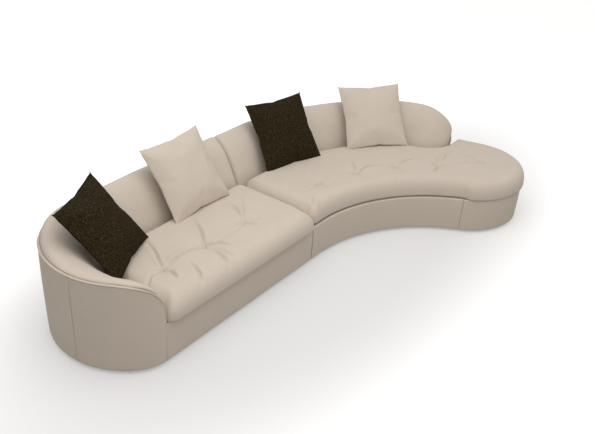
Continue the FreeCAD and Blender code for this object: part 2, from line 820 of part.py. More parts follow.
def hollow_of(path, share, half_width, inset):
    """How far a flat face of that width must stand off a curved inner face to stay clear of it."""
    _, first = path.at(share)
    _, last = path.at(min(1.0, share + 0.01))
    turned = math.radians(abs(last - first))
    step = path.length() * (min(1.0, share + 0.01) - share)
    radius = step / turned - inset if turned > 1e-9 else 0.0
    return (half_width**2 / (2 * radius) if radius > 0 else 0.0) + JOINT_GAP


def posts(path, shares):
    stood = []
    for share in shares:
        near = PANEL + hollow_of(path, share, POST_WIDTH / 2, PANEL)
        far = PANEL + POST
        stood.append(station_box(path, share, near, far, POST_WIDTH, RAIL_TOP, TOP_RAIL_BOTTOM))
    return stood


def post_rooms(path, shares):
    """The space that each post needs through the webbing, with a clearance round it."""
    far = PANEL + POST + JOINT_GAP
    width = POST_WIDTH + JOINT_GAP * 2
    return [station_box(path, share, 0, far, width, RAIL_BOTTOM, BACK_CROWN) for share in shares]


def foot_places(lines):
    """Each foot as (block, point): a block inside the rail and the foot's middle on the floor."""
    places = []
    for path, shares in lines:
        for share in shares:
            point, heading = path.at(share)
            near = RAIL_INSET + hollow_of(path, share, FOOT_BLOCK / 2, RAIL_INSET)
            block = station_box(
                path,
                share,
                near,
                near + FOOT_BLOCK,
                FOOT_BLOCK,
                RAIL_BOTTOM,
                RAIL_BOTTOM + FOOT_BLOCK_HEIGHT,
            )
            places.append((block, point + right_of(heading) * (near + FOOT_BLOCK / 2)))
    return places


def feet(lines):
    """Blocks, feet, felt glides and screws of one module, and the screws' holes."""
    blocks, stood, glides, screws, holes = [], [], [], [], []
    head_bottom = GLIDE + REST_GAP
    bore = SCREW_RADIUS + REST_GAP
    for block, place in foot_places(lines):
        hole = cylinder(bore, place, UP, FOOT_SCREW_LENGTH + SCREW_HEAD)
        foot = cylinder(FOOT_RADIUS, place + UP * GLIDE, UP, FOOT_TOP - GLIDE)
        recess_radius = SCREW_HEAD_RADIUS + REST_GAP
        recess = cylinder(recess_radius, place, UP, head_bottom + SCREW_HEAD)
        head = cylinder(SCREW_HEAD_RADIUS, place + UP * head_bottom, UP, SCREW_HEAD)
        shank_start = place + UP * (head_bottom + SCREW_HEAD)
        shank = cylinder(SCREW_RADIUS, shank_start, UP, FOOT_SCREW_LENGTH - SCREW_HEAD)
        blocks.append(block.cut(hole))
        stood.append(foot.cut(hole).cut(recess))
        glides.append(cylinder(GLIDE_RADIUS, place, UP, GLIDE))
        screws.append(head.fuse(shank).removeSplitter())
        holes.append(hole)
    return blocks, stood, glides, screws, holes


def connector_heights():
    return [
        Vector(0, CONNECTOR_FROM_EDGE, CONNECTOR_HEIGHT),
        Vector(0, DEPTH - CONNECTOR_FROM_EDGE, CONNECTOR_HEIGHT),
    ]


def connectors(side):
    """Flanged pins on the right module or flanged sockets on the left one, with their screws."""
    away = Vector(side, 0, 0)
    pieces, screws, holes = [], [], []
    for middle in connector_heights():
        inner_face = middle + away * END_RAIL
        flange = cylinder(FLANGE_RADIUS, inner_face, away, FLANGE)
        if side > 0:
            reach = END_RAIL + CONNECTOR_REACH
            body = cylinder(CONNECTOR_RADIUS, inner_face, away * -1, reach)
            piece = flange.fuse(body).removeSplitter()
            holes.append(cylinder(CONNECTOR_RADIUS + REST_GAP, middle, away, END_RAIL))
        else:
            outer_radius = CONNECTOR_RADIUS + REST_GAP + SOCKET_WALL
            body = cylinder(outer_radius, inner_face, away * -1, END_RAIL - END_FACE)
            bore = cylinder(CONNECTOR_RADIUS + REST_GAP, middle, away, END_RAIL + FLANGE)
            piece = flange.fuse(body).removeSplitter().cut(bore)
            holes.append(cylinder(outer_radius + REST_GAP, middle, away, END_RAIL))
        for turn in range(CONNECTOR_SCREWS):
            angle = math.radians(360.0 * turn / CONNECTOR_SCREWS)
            offset = Vector(0, math.cos(angle), math.sin(angle)) * CONNECTOR_SCREW_CIRCLE
            seat = inner_face + offset + away * FLANGE
            head = cylinder(CONNECTOR_SCREW_HEAD_RADIUS, seat, away, CONNECTOR_SCREW_RADIUS)
            shank = cylinder(CONNECTOR_SCREW_RADIUS, seat, away * -1, CONNECTOR_SCREW_LENGTH)
            screws.append(head.fuse(shank).removeSplitter())
            holes.append(cylinder(CONNECTOR_SCREW_RADIUS, seat, away * -1, CONNECTOR_SCREW_LENGTH))
            piece = piece.cut(holes[-1])
        pieces.append(piece)
    return pieces, screws, holes


def cut_all(shape, tools):
    for tool in tools:
        shape = shape.cut(tool)
    return shape


def webbing(path, side, rooms):
    """Front-to-back straps laid on the rails, cut short at the back's posts."""
    bed = slab(path, PANEL + JOINT_GAP, END_PANEL + JOINT_GAP, RAIL_TOP, RAIL_TOP + WEBBING)
    bounds = bed.BoundBox
    straps = []
    near = END_RAIL + WEBBING_WIDTH
    count = int((max(abs(bounds.XMin), abs(bounds.XMax)) - near - WEBBING_WIDTH) / WEBBING_PITCH)
    for place in range(count + 1):
        x = side * (near + WEBBING_PITCH * place)
        half = WEBBING_WIDTH / 2
        strip = box(
            Vector(x - half, bounds.YMin - half, RAIL_TOP),
            Vector(x + half, bounds.YMax + half, RAIL_TOP + WEBBING),
        )
        straps += cut_all(bed.common(strip), rooms).Solids
    return [strap for strap in straps if strap.Volume > WEBBING_WIDTH**2 * WEBBING]


def cross_rails(path, side, places, blocks):
    bed = slab(path, RAIL_INSET + REST_GAP, END_RAIL + REST_GAP, RAIL_BOTTOM, RAIL_TOP)
    bounds = bed.BoundBox
    rails = []
    for x in places:
        half = CROSS_RAIL / 2
        strip = box(
            Vector(x - half, bounds.YMin - half, RAIL_BOTTOM),
            Vector(x + half, bounds.YMax + half, RAIL_TOP),
        )
        rails += cut_all(bed.common(strip), blocks).Solids
    return rails


def module(name, side, path, shell, rail_shell, panels, rails, foot_lines, post_shares, crosses):
    """The base, frame, deck, back frame, feet and connectors of one module."""
    blocks, stood_feet, glides, screws, screw_holes = feet(foot_lines)
    stood = posts(shell, post_shares)
    joined, joint_screws, joint_holes = connectors(side)
    rear = DEPTH - PANEL - JOINT_GAP
    seam_rail = joint_box(side, END_PANEL, END_RAIL, PANEL, rear, RAIL_BOTTOM, RAIL_TOP)
    seam_panel = joint_box(side, END_FACE, END_PANEL, PANEL, rear, PANEL_BOTTOM, BASE_TOP)
    dust = slab(path, PANEL + JOINT_GAP, END_PANEL + JOINT_GAP, FOOT_TOP, RAIL_BOTTOM)
    deck_low = RAIL_TOP + WEBBING
    deck = slab(path, PANEL + JOINT_GAP, END_PANEL + JOINT_GAP, deck_low, BASE_TOP)
    deck = deck.cut(wall(shell, 0, PANEL + POST + JOINT_GAP, deck_low, BASE_TOP))
    top_rail_top = TOP_RAIL_BOTTOM + TOP_RAIL_HEIGHT
    near = PANEL + PANEL_SKIN
    top_rail = wall(rail_shell, near, PANEL + POST, TOP_RAIL_BOTTOM, top_rail_top)
    straps = webbing(path, side, post_rooms(shell, post_shares))
    pieces = {
        "seam_rail": cut_all(seam_rail, joint_holes),
        "seam_panel": cut_all(seam_panel, joint_holes),
        "cross_rails": group(cross_rails(path, side, crosses, blocks)),
        "webbing": group(straps),
        "deck_pad": deck,
        "dust_cover": cut_all(dust, screw_holes),
        "back_posts": group(stood),
        "back_top_rail": sided(top_rail, side, END_FACE + JOINT_GAP),
        "foot_blocks": group(blocks),
        "feet": group(stood_feet),
        "foot_glides": group(glides),
        "foot_screws": group(screws),
        "connector_screws": group(joint_screws),
        "connector_pins" if side > 0 else "connector_sockets": group(joined),
    }
    for piece, panel_path in panels.items():
        panel = wall(panel_path, 0, PANEL, PANEL_BOTTOM, BASE_TOP)
        pieces[piece] = sided(panel, side, END_FACE)
    for piece, rail_path in rails.items():
        rail = wall(rail_path, PANEL, RAIL_INSET, RAIL_BOTTOM, RAIL_TOP)
        pieces[piece] = sided(rail, side, END_RAIL)
    return {name + "_" + piece: shape for piece, shape in pieces.items()}


def seat_cushion(name, make, zip_x, rear):
    """Cover, foam core and zip of one seat cushion."""
    cover = make(0.0).cut(make(COVER))
    core = make(COVER + REST_GAP)
    low = Vector(zip_x, rear - ZIP_FROM_REAR, BASE_TOP + REST_GAP)
    size = Vector(ZIP_LENGTH, ZIP_WIDTH, ZIP_DEPTH)
    gap = Vector(REST_GAP, REST_GAP, REST_GAP)
    slot = box(low - gap, low + size + gap)
    return {
        name + "_cover": cover.cut(slot),
        name + "_core": core,
        name + "_zip": box(low, low + size),
    }


def build():
    """Every piece of the sofa, by name."""
    left_front = LEFT.part(0, 1)
    pieces = module(
        "left",
        -1,
        LEFT,
        LEFT_SHELL,
        LEFT.part(2, 7),
        {"base_panel": left_front},
        {"front_rail": left_front, "outer_rail": LEFT_SHELL},
        [(left_front, LEFT_FRONT_FEET), (LEFT_SHELL, LEFT_SHELL_FEET)],
        LEFT_POSTS,
        LEFT_CROSS_RAILS,
    )
    pieces |= module(
        "right",
        1,
        RIGHT,
        RIGHT_BACK_PATH,
        RIGHT.part(0, 3),
        {"base_panel": RIGHT_FRONT_PATH, "lobe_panel": LOBE_PATH},
        {"front_rail": RIGHT_FRONT_PATH, "outer_rail": RIGHT.part(0, 7)},
        [(RIGHT_BACK_PATH, RIGHT_BACK_FEET), (LOBE_PATH, LOBE_FEET), (RIGHT_FRONT_PATH, RIGHT_FRONT_FEET)],
        RIGHT_POSTS,
        RIGHT_CROSS_RAILS,
    )
    arm, left_back, right_back = outer_panels()
    pieces["left_arm_outer_panel"] = arm
    pieces["left_back_outer_panel"] = left_back
    pieces["right_back_outer_panel"] = right_back
    pieces["left_back_pad"] = loft(left_pad_sections())
    pieces["right_back_pad"] = loft(right_pad_sections())
    pieces["left_piping"], pieces["right_piping"] = piping()
    rear = left_inner_end().y - SOFT_GAP
    zip_start = -ZIP_FROM_JOINT - ZIP_LENGTH
    pieces |= seat_cushion("left_seat", left_seat, zip_start, rear)
    pieces |= seat_cushion("right_seat", right_seat, ZIP_FROM_JOINT, rear)
    for name, place in PILLOWS.items():
        path = LEFT_SHELL if name.startswith("left") else RIGHT_BACK_PATH
        cover, insert, zip_strip = pillow(*pillow_place(path, *place))
        pieces[name + "_cover"] = cover
        pieces[name + "_insert"] = insert
        pieces[name + "_zip"] = zip_strip
    return pieces


def main():
    os.makedirs("parts", exist_ok=True)
    pieces = build()
    bounds = FreeCAD.BoundBox()
    for shape in pieces.values():
        bounds.add(shape.BoundBox)
    home = Vector(-bounds.Center.x, -bounds.Center.y, -bounds.ZMin)
    for name, shape in pieces.items():
        shape.translate(home)
        shape.exportStep(os.path.join("parts", name + ".step"))
    print(len(pieces), "pieces, moved by", home, "size", bounds.XLength, bounds.YLength, bounds.ZLength)


if __name__ == "__main__":
    main()
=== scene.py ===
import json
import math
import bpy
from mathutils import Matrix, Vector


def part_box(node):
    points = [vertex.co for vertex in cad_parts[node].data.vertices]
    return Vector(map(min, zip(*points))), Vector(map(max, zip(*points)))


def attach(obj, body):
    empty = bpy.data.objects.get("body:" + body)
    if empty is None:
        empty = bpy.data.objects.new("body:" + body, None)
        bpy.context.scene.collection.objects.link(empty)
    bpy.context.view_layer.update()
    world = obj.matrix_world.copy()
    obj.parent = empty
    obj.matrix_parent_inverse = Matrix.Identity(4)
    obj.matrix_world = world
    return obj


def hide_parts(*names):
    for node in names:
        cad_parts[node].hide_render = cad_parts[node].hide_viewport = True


bl_info = {
    "name": "Curved sofa",
    "version": (1, 0, 0),
    "blender": (4, 5, 0),
    "location": "3D View > Sidebar > Sofa",
    "description": "Dresses a curved sofa with padded fabric pieces, materials and a studio stage",
    "category": "Object",
}

import bmesh
import bpy
import numpy as np
from bpy.props import FloatProperty, FloatVectorProperty, PointerProperty
from mathutils import Matrix, Vector

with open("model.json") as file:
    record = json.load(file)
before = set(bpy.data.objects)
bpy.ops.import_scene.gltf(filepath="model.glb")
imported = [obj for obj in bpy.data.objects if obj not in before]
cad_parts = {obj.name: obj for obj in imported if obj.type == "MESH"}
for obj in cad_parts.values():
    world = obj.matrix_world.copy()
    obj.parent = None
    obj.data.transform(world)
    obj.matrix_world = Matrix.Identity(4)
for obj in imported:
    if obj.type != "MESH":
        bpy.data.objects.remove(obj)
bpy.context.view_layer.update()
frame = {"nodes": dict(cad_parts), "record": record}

# Plan and heights of the sofa in metres, as in the CAD source
MODULE_GAP = 0.005
FRONT_LENGTH = 1.306
LEFT_TURNS = [(0.242, 45.0), (0.482, 37.5), (0.482, 7.5), (0.518, 45.0), (0.331, 41.0)]
BACK_SPLAY = 4.0
ARM_THICKNESS = 0.3
BACK_THICKNESS = 0.295
INNER_CORNER_RADIUS = 0.25
INNER_BACK_RISE = 0.0155
SWEEP = [(0.1, 0.0), (1.07, 62.0)]
LOBE_FRONT_RADIUS = 0.45
LOBE_RADIUS = 0.372
BACK_SWEEP = [(1.7, 40.0), (0.95, 34.93)]
BACK_END_RUN = 0.15
PANEL = 0.012
PANEL_BOTTOM = 0.02
BASE_TOP = 0.266
REST_GAP = 0.0003
PIPING_HEIGHT = 0.567
NOSE_RUN = 0.25
NOSE_BOTTOM = 0.33
BACK_CROWN = 0.632
SEAT_CROWN = 0.404
ARM_CROWN = 0.582
TOP_RAIL_TOP = 0.44
POCKET = 0.047
BACK_LEAN = 0.38
BACK_END_FALL_RUN = 0.3
BACK_END_FALL = 0.215
SEAT_OVERHANG = 0.034
LOBE_OVERHANG = 0.014
SOFT_GAP = 0.003

# Camera of the photograph, in the CAD's own directions, and the lamp over the sofa
CAMERA_PLACE = (-3.2968, -2.151, 2.6149)
CAMERA_FORWARD = (0.71137, 0.49289, -0.50101)
CAMERA_RIGHT = (0.59779, -0.79921, 0.06254)
LAMP_PLACE = (-0.9, -0.8, 3.6)
LAMP_AIM = (0.0, 0.0, 0.3)
LAMP_SIZE = (4.5, 3.5)

# Floor: half its side, the grey that it throws light back with and that the camera sees as a painted
# shadow round the sofa, and where that painted shadow starts and ends to fade
FLOOR_HALF = 14.0
FLOOR_GREY_AND_PAINTED_SHADOW = (0.42, 0.42, 0.42, 1.0)
PAINTED_SHADOW_FADE = (0.6, 1.8)
PAINTED_SHADOW_STRETCH = (0.45, 1.0, 1.0)
FLOOR_GLOW = 0.35

LEFT_TUFTS = np.array([(-1.091, 0.247), (-0.77, 0.238), (-0.412, 0.25)])
RIGHT_TUFTS = np.array([(0.337, 0.2), (0.65, 0.105), (0.931, -0.045), (1.169, -0.26), (1.455, -0.48)])

# A sewn line across the right cushion
CROSS_SEAM = ((1.02, -0.06), (0.955, -0.061), (0.83, -0.15), (0.68, -0.33))

# Sewn and pulled folds of the seat cushions: first point, last point, bow of the arc, depth
LEFT_FOLDS = np.array(
    [
        (-1.099, 0.238, -0.786, 0.231, 0.023, 1.0),
        (-0.763, 0.229, -0.674, 0.132, 0.021, 1.0),
        (-0.771, 0.237, -0.614, 0.493, -0.018, 1.0),
        (-1.089, 0.256, -0.977, 0.495, -0.011, 0.8),
        (-1.099, 0.224, -1.102, 0.129, 0.013, 0.9),
        (-0.783, 0.203, -0.832, -0.03, 0.017, 0.9),
        (-0.767, 0.202, -0.734, 0.011, 0.004, 0.6),
        (-0.394, 0.265, -0.311, 0.471, -0.011, 0.7),
        (-0.381, 0.269, -0.22, 0.432, 0.0, 0.5),
        (-0.418, 0.237, -0.309, 0.209, -0.013, 0.6),
        (-0.422, 0.242, -0.39, 0.181, -0.004, 0.8),
        (-0.964, 0.161, -1.06, -0.027, 0.017, 0.8),
        (-1.049, -0.0, -1.125, -0.06, 0.01, 0.8),
        (-0.964, 0.01, -0.997, -0.05, 0.0, 0.5),
        (-0.831, 0.0, -0.892, -0.07, 0.009, 0.5),
        (-1.18, 0.235, -1.27, 0.181, 0.001, 0.5),
        (-0.759, 0.225, -0.431, 0.234, -0.026, 0.4),
    ]
)
RIGHT_FOLDS = np.array(
    [
        (0.639, 0.094, 0.892, 0.005, 0.04, 1.0),
        (0.892, 0.005, 0.931, -0.045, -0.008, 0.7),
        (0.962, -0.055, 1.185, -0.116, 0.016, 0.9),
        (0.321, 0.206, 0.575, 0.161, 0.026, 0.6),
        (0.575, 0.161, 0.639, 0.094, -0.016, 0.8),
        (0.755, 0.228, 0.656, 0.121, 0.006, 0.7),
        (1.167, -0.267, 1.191, -0.147, -0.01, 0.8),
        (1.152, -0.275, 1.04, -0.3, 0.006, 0.7),
        (1.257, -0.263, 1.451, -0.221, 0.0, 0.6),
        (1.198, -0.251, 1.346, -0.186, 0.004, 0.5),
        (1.48, -0.468, 1.498, -0.361, 0.0, 0.5),
        (0.293, 0.236, 0.393, 0.131, -0.029, 0.5),
        (0.309, 0.198, 0.161, 0.208, 0.018, 0.5),
        (1.167, -0.267, 1.455, -0.48, -0.01, 0.4),
        (0.12, 0.11, 0.03, 0.02, -0.009, 0.6),
        (0.17, 0.08, 0.05, -0.01, 0.009, 0.5),
    ]
)

# Pillows, as in the CAD source: run along the back, distance inwards, height over the seat's crown,
# and the directions across and up as (along, inwards, upwards)
PILLOWS = {
    "left_dark_pillow": (0.94083, 0.34095, 0.198, (0.9428, 0.3333, 0.0), (0.2145, -0.6068, 0.7653)),
    "left_pale_pillow": (1.97685, 0.25817, 0.1997, (0.9996, -0.0017, 0.027), (-0.0232, -0.5648, 0.8249)),
    "right_dark_pillow": (0.5088, 0.27718, 0.1907, (0.9931, 0.1192, 0.016), (0.0547, -0.569, 0.821)),
    "right_pale_pillow": (1.4545, 0.26993, 0.1889, (0.9997, -0.0192, 0.023), (-0.0302, -0.6233, 0.781)),
}

LOW_CORNER, HIGH_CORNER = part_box("left_base_panel")
ORIGIN = np.array([HIGH_CORNER[0] + MODULE_GAP / 2, LOW_CORNER[1], 0.0])


# Plan lines


def direction(heading):
    return np.stack([np.cos(heading), np.sin(heading)], axis=-1)


def right_hand(heading):
    return np.stack([np.sin(heading), -np.cos(heading)], axis=-1)


def plan_line(start, heading, steps):
    """A line of tangent straights (length, 0) and arcs (radius, turn in degrees, right above zero).

    Returns the first points, first headings, bends (one over the radius) and lengths of its steps.
    """
    points, headings, bends, lengths = [], [], [], []
    point = np.array(start, float)
    heading = math.radians(heading)
    for size, turn in steps:
        swept = math.radians(turn)
        bend = math.copysign(1.0 / size, turn) if turn else 0.0
        length = size * abs(swept) if turn else size
        points.append(point)
        headings.append(heading)
        bends.append(bend)
        lengths.append(length)
        if turn:
            centre = point + right_hand(heading) / bend
            point = centre - right_hand(heading - swept) / bend
        else:
            point = point + direction(heading) * length
        heading -= swept
    return np.array(points), np.array(headings), np.array(bends), np.array(lengths)


def along(line, share, inset=0.0):
    """Points and headings at shares of a line's length, moved to its right by an inset.

    On a straight a point is start + heading * run; on an arc it is the centre less the right-hand
    direction times the radius, and the heading falls by bend * run.
    """
    points, headings, bends, lengths = line
    ends = np.cumsum(lengths)
    run = np.clip(share, 0.0, 1.0) * ends[-1]
    step = np.minimum(np.searchsorted(ends, run), len(lengths) - 1)
    run = run - (ends[step] - lengths[step])
    bend = bends[step][..., None]
    first = headings[step]
    heading = first - bends[step] * run
    straight = points[step] + direction(first) * run[..., None]
    radius = 1.0 / np.where(np.abs(bend) < 1e-9, 1.0, bend)
    arc = points[step] + (right_hand(first) - right_hand(heading)) * radius
    place = np.where(np.abs(bend) < 1e-9, straight, arc)
    return place + right_hand(heading) * inset, heading


def line_end(line):
    place, heading = along(line, np.array([1.0]))
    return place[0], float(heading[0])


def part_of(line, first, last):
    return tuple(values[first:last] for values in line)


def total(line):
    return float(np.sum(line[3]))


def left_outline():
    steps = [(FRONT_LENGTH, 0.0)] + LEFT_TURNS
    end, _ = line_end(plan_line((0, 0), 180.0, steps))
    radius = -end[0] / math.sin(math.radians(BACK_SPLAY))
    return plan_line((0, 0), 180.0, steps + [(radius, BACK_SPLAY)])


def right_outline(depth):
    """Back, lobe and front; the straight at the back's end is tangent to the lobe."""
    front_end, _ = line_end(plan_line((0, 0), 0.0, SWEEP))
    sweep_turn = SWEEP[1][1]
    lobe_front = front_end - right_hand(math.radians(-sweep_turn)) * LOBE_FRONT_RADIUS
    lobe = lobe_front - np.array([0.0, LOBE_FRONT_RADIUS - LOBE_RADIUS])
    end, heading = line_end(plan_line((0, depth), 0.0, BACK_SWEEP))
    ahead = direction(heading)
    touch = lobe - right_hand(heading) * LOBE_RADIUS
    straight = (touch[1] - end[1]) / ahead[1]
    start = touch[0] - ahead[0] * straight - end[0]
    turned = math.degrees(heading)
    steps = [(start, 0.0)] + BACK_SWEEP
    steps += [(BACK_END_RUN, 0.0), (straight - BACK_END_RUN, 0.0), (LOBE_RADIUS, 180.0 + turned)]
    steps += [(LOBE_FRONT_RADIUS, sweep_turn), (SWEEP[1][0], -sweep_turn), SWEEP[0]]
    return plan_line((0, depth), 0.0, steps)


LEFT = left_outline()
DEPTH = float(line_end(LEFT)[0][1])
RIGHT = right_outline(DEPTH)
LEFT_FRONT = part_of(LEFT, 0, 1)
ARM_PANEL = part_of(LEFT, 1, 3)
ARM = part_of(LEFT, 1, 4)
CORNER = part_of(LEFT, 4, 6)
LEFT_BACK = part_of(LEFT, 6, 7)
LEFT_SHELL = part_of(LEFT, 1, 7)
RIGHT_BACK = part_of(RIGHT, 0, 4)
LOBE = part_of(RIGHT, 4, 7)
RIGHT_FRONT = part_of(RIGHT, 7, 9)
INNER_TURN = 90.0 - BACK_SPLAY
INNER_CORNER_DEPTH = INNER_CORNER_RADIUS * math.sin(math.radians(INNER_TURN))
INNER_ARM_LENGTH = DEPTH - BACK_THICKNESS - INNER_BACK_RISE - INNER_CORNER_DEPTH
INNER_ARM = plan_line((line_end(ARM)[0][0] + ARM_THICKNESS, 0.0), 90.0, [(INNER_ARM_LENGTH, 0.0)])
INNER_CORNER = plan_line(line_end(INNER_ARM)[0], 90.0, [(INNER_CORNER_RADIUS, INNER_TURN)])
LEFT_INNER_END = np.array([-MODULE_GAP / 2, DEPTH - BACK_THICKNESS])


# Shapes along a run


def quarter(run, reach):
    """How far a quarter circle of that reach has risen, from 0 at its end to 1 past its reach."""
    short = np.clip(1.0 - run / reach, 0.0, 1.0)
    return np.sqrt(np.maximum(0.0, 1.0 - short**2))


def nose_height(run):
    return NOSE_BOTTOM + (PIPING_HEIGHT - NOSE_BOTTOM) * quarter(run, NOSE_RUN)


def back_fall(run):
    return BACK_END_FALL * (1.0 - quarter(run, BACK_END_FALL_RUN))


def back_width(run):
    narrow = np.clip(1.0 - run / (BACK_THICKNESS * 0.75), 0.0, 1.0)
    return BACK_THICKNESS * np.sqrt(1.0 - narrow**2 * 0.86)


def spaced(count):
    """Shares from 0 to 1, closer near both ends: half of 1 less the cosine of a half turn."""
    return 0.5 - 0.5 * np.cos(np.pi * np.linspace(0.0, 1.0, count))


def ripple(points, seed, length):
    """A soft wave between -1 and 1 over points: the mean of six sines in seeded directions."""
    made = np.random.default_rng(seed)
    ways = made.normal(size=(6, points.shape[-1]))
    size = np.linalg.norm(ways, axis=1, keepdims=True)
    ways *= (2 * np.pi / length) * made.uniform(0.6, 1.6, (6, 1)) / size
    phases = made.uniform(0, 2 * np.pi, 6)
    return np.sin(points @ ways.T + phases).mean(axis=-1) * 1.6


def seam_groove(distance, width):
    """A sewn line: a narrow valley with a small rise on each side."""
    share = distance / width
    return -np.exp(-(share**2)) + 0.35 * np.exp(-((np.abs(share) - 2.2) ** 2))


# Mesh making


def make_object(name, vertices, faces):
    mesh = bpy.data.meshes.new(name)
    mesh.from_pydata(vertices.reshape(-1, 3).tolist(), [], faces)
    mesh.update()
    mesh.polygons.foreach_set("use_smooth", [True] * len(mesh.polygons))
    piece = bpy.data.objects.new(name, mesh)
    bpy.context.scene.collection.objects.link(piece)
    return piece


def grid_faces(rows, columns, closed=False):
    """Four-sided faces of a grid; in a closed grid the last column meets the first."""
    row = np.arange(rows - 1)
    column = np.arange(columns if closed else columns - 1)
    first, second = np.meshgrid(row, column, indexing="ij")
    beside = (second + 1) % columns
    corners = [
        first * columns + second,
        (first + 1) * columns + second,
        (first + 1) * columns + beside,
        first * columns + beside,
    ]
    return np.stack(corners, axis=-1).reshape(-1, 4).tolist()


def tidy_mesh(piece, gap=1e-5):
    """Merges doubled points and turns every face outwards."""
    work = bmesh.new()
    work.from_mesh(piece.data)
    bmesh.ops.remove_doubles(work, verts=work.verts, dist=gap)
    bmesh.ops.recalc_face_normals(work, faces=work.faces)
    work.to_mesh(piece.data)
    work.free()
    return piece


def tube_form(name, grid):
    """A closed tube from rings of points (rings, points in a ring, 3), with flat ends."""
    rings, around = grid.shape[:2]
    faces = grid_faces(rings, around, closed=True)
    faces.append(list(range(around)))
    faces.append(list(range((rings - 1) * around, rings * around)))
    return tidy_mesh(make_object(name, grid + ORIGIN, faces))


def sewn_pair(name, upper, lower, rows, columns, gap=1e-5):
    """Two sheets of one grid, the lower one facing down, sewn together along their rims."""
    faces = np.array(grid_faces(rows, columns))
    faces = np.concatenate([faces, faces[:, ::-1] + len(upper)]).tolist()
    return tidy_mesh(make_object(name, np.concatenate([upper, lower]), faces), gap)


def ring_of(parts, flat):
    """Joins the (inset, level) parts of a section into one ring per row."""
    inset = np.concatenate([part[0] + flat for part in parts], axis=1)
    level = np.concatenate([part[1] + flat for part in parts], axis=1)
    return inset, level


def carried(places, across, inset, level):
    """The points of every ring: its place, plus its way across times the inset, at its level."""
    plan = places[:, None, :] + across[:, None, :] * inset[..., None]
    return np.concatenate([plan, level[..., None]], axis=-1)


def swell(grid, amount):
    """Moves the points of closed rings outwards by an amount, square to each ring."""
    ahead = np.roll(grid, -1, axis=1) - np.roll(grid, 1, axis=1)
    run = np.gradient(grid, axis=0)
    normal = np.cross(run, ahead)
    normal /= np.linalg.norm(normal, axis=-1, keepdims=True) + 1e-9
    centre = grid.mean(axis=1, keepdims=True)
    lean = ((grid - centre) * normal).sum(axis=-1, keepdims=True)
    outward = np.sign(lean.mean(axis=1, keepdims=True))
    return grid + normal * outward * amount[..., None]


def finish_piece(piece, body, material, nodes):
    """Gives a piece its one material, the body it rides on and the nodes it stands for."""
    piece.data.materials.clear()
    piece.data.materials.append(material)
    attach(piece, body)
    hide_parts(*nodes)
    return piece


# Materials


# Places of the colour sockets on a mix node
MIX_FIRST = 6
MIX_SECOND = 7
MIX_RESULT = 2


def new_group(name, inputs):
    """A node group with the given inputs and with a colour, a roughness and a height going out."""
    group = bpy.data.node_groups.new(name, "ShaderNodeTree")
    for label, value in inputs:
        kind = "NodeSocketColor" if isinstance(value, tuple) else "NodeSocketFloat"
        group.interface.new_socket(label, in_out="INPUT", socket_type=kind).default_value = value
    group.interface.new_socket("Colour", in_out="OUTPUT", socket_type="NodeSocketColor")
    group.interface.new_socket("Roughness", in_out="OUTPUT", socket_type="NodeSocketFloat")
    group.interface.new_socket("Height", in_out="OUTPUT", socket_type="NodeSocketFloat")
    return group, group.nodes.new("NodeGroupInput").outputs


def send_out(group, colour, rough, height):
    out = group.nodes.new("NodeGroupOutput")
    for label, source in (("Colour", colour), ("Roughness", rough), ("Height", height)):
        group.links.new(source, out.inputs[label])
    return group


def put_node(tree, kind, links=(), **values):
    """A node with its settings and plain socket values, and links into its named sockets."""
    node = tree.nodes.new(kind)
    for key, value in values.items():
        if hasattr(node, key):
            setattr(node, key, value)
        else:
            node.inputs[key.replace("_", " ")].default_value = value
    for key, source in links:
        tree.links.new(source, node.inputs[key])
    return node


def maths(tree, operation, *values):
    node = tree.nodes.new("ShaderNodeMath")
    node.operation = operation
    for place, value in enumerate(values):
        if isinstance(value, (int, float)):
            node.inputs[place].default_value = value
        else:
            tree.links.new(value, node.inputs[place])
    return node.outputs[0]


def spread(tree, value, amount):
    """A noise moved to lie about 0, times an amount."""
    return maths(tree, "MULTIPLY", maths(tree, "SUBTRACT", value, 0.5), amount)


def shade_by(tree, colour, factor):
    """A colour times a grey factor."""
    links = [(0, colour), ("Scale", factor)]
    return put_node(tree, "ShaderNodeVectorMath", links, operation="SCALE").outputs[0]


def mix_colours(tree, factor, first, second):
    """One colour passing into another by a factor; each is a plain colour or a socket."""
    node = put_node(tree, "ShaderNodeMix", [(0, factor)], data_type="RGBA")
    for place, colour in ((MIX_FIRST, first), (MIX_SECOND, second)):
        if isinstance(colour, tuple):
            node.inputs[place].default_value = colour
        else:
            tree.links.new(colour, node.inputs[place])
    return node.outputs[MIX_RESULT]


def object_points(tree):
    return tree.nodes.new("ShaderNodeTexCoord").outputs["Object"]


def noise(tree, points, scale, detail=3.0, rough=0.55):
    values = {"Scale": scale, "Detail": detail, "Roughness": rough}
    return put_node(tree, "ShaderNodeTexNoise", [("Vector", points)], **values).outputs["Fac"]


def weave_group():
    """Fine napped cloth: crossed threads, a soft nap and slow clouding of the shade."""
    inputs = [("Colour", (0.6, 0.53, 0.44, 1.0)), ("Thread scale", 900.0)]
    group, given = new_group("napped weave", inputs + [("Clouding", 0.06), ("Grain", 0.1)])
    points = object_points(group)
    cloud = noise(group, points, 6.5, 4.0)
    nap = noise(group, points, 260.0, 3.0, 0.7)
    scale = maths(group, "MULTIPLY", given["Thread scale"], 0.35)
    threads = []
    for way in ("X", "Y", "Z"):
        links = [("Vector", points), ("Scale", scale)]
        wave = put_node(group, "ShaderNodeTexWave", links, bands_direction=way, Distortion=1.5)
        threads.append(wave.outputs["Fac"])
    crossed = maths(group, "MULTIPLY", maths(group, "ADD", threads[0], threads[1]), threads[2])
    clouded = spread(group, cloud, given["Clouding"])
    grained = spread(group, nap, given["Grain"])
    factor = maths(group, "ADD", maths(group, "ADD", clouded, grained), 1.0)
    raised = maths(group, "MULTIPLY", crossed, 0.35)
    height = maths(group, "ADD", maths(group, "MULTIPLY", nap, 0.8), raised)
    colour = shade_by(group, given["Colour"], factor)
    return send_out(group, colour, maths(group, "MULTIPLY_ADD", nap, 0.12, 0.82), height)


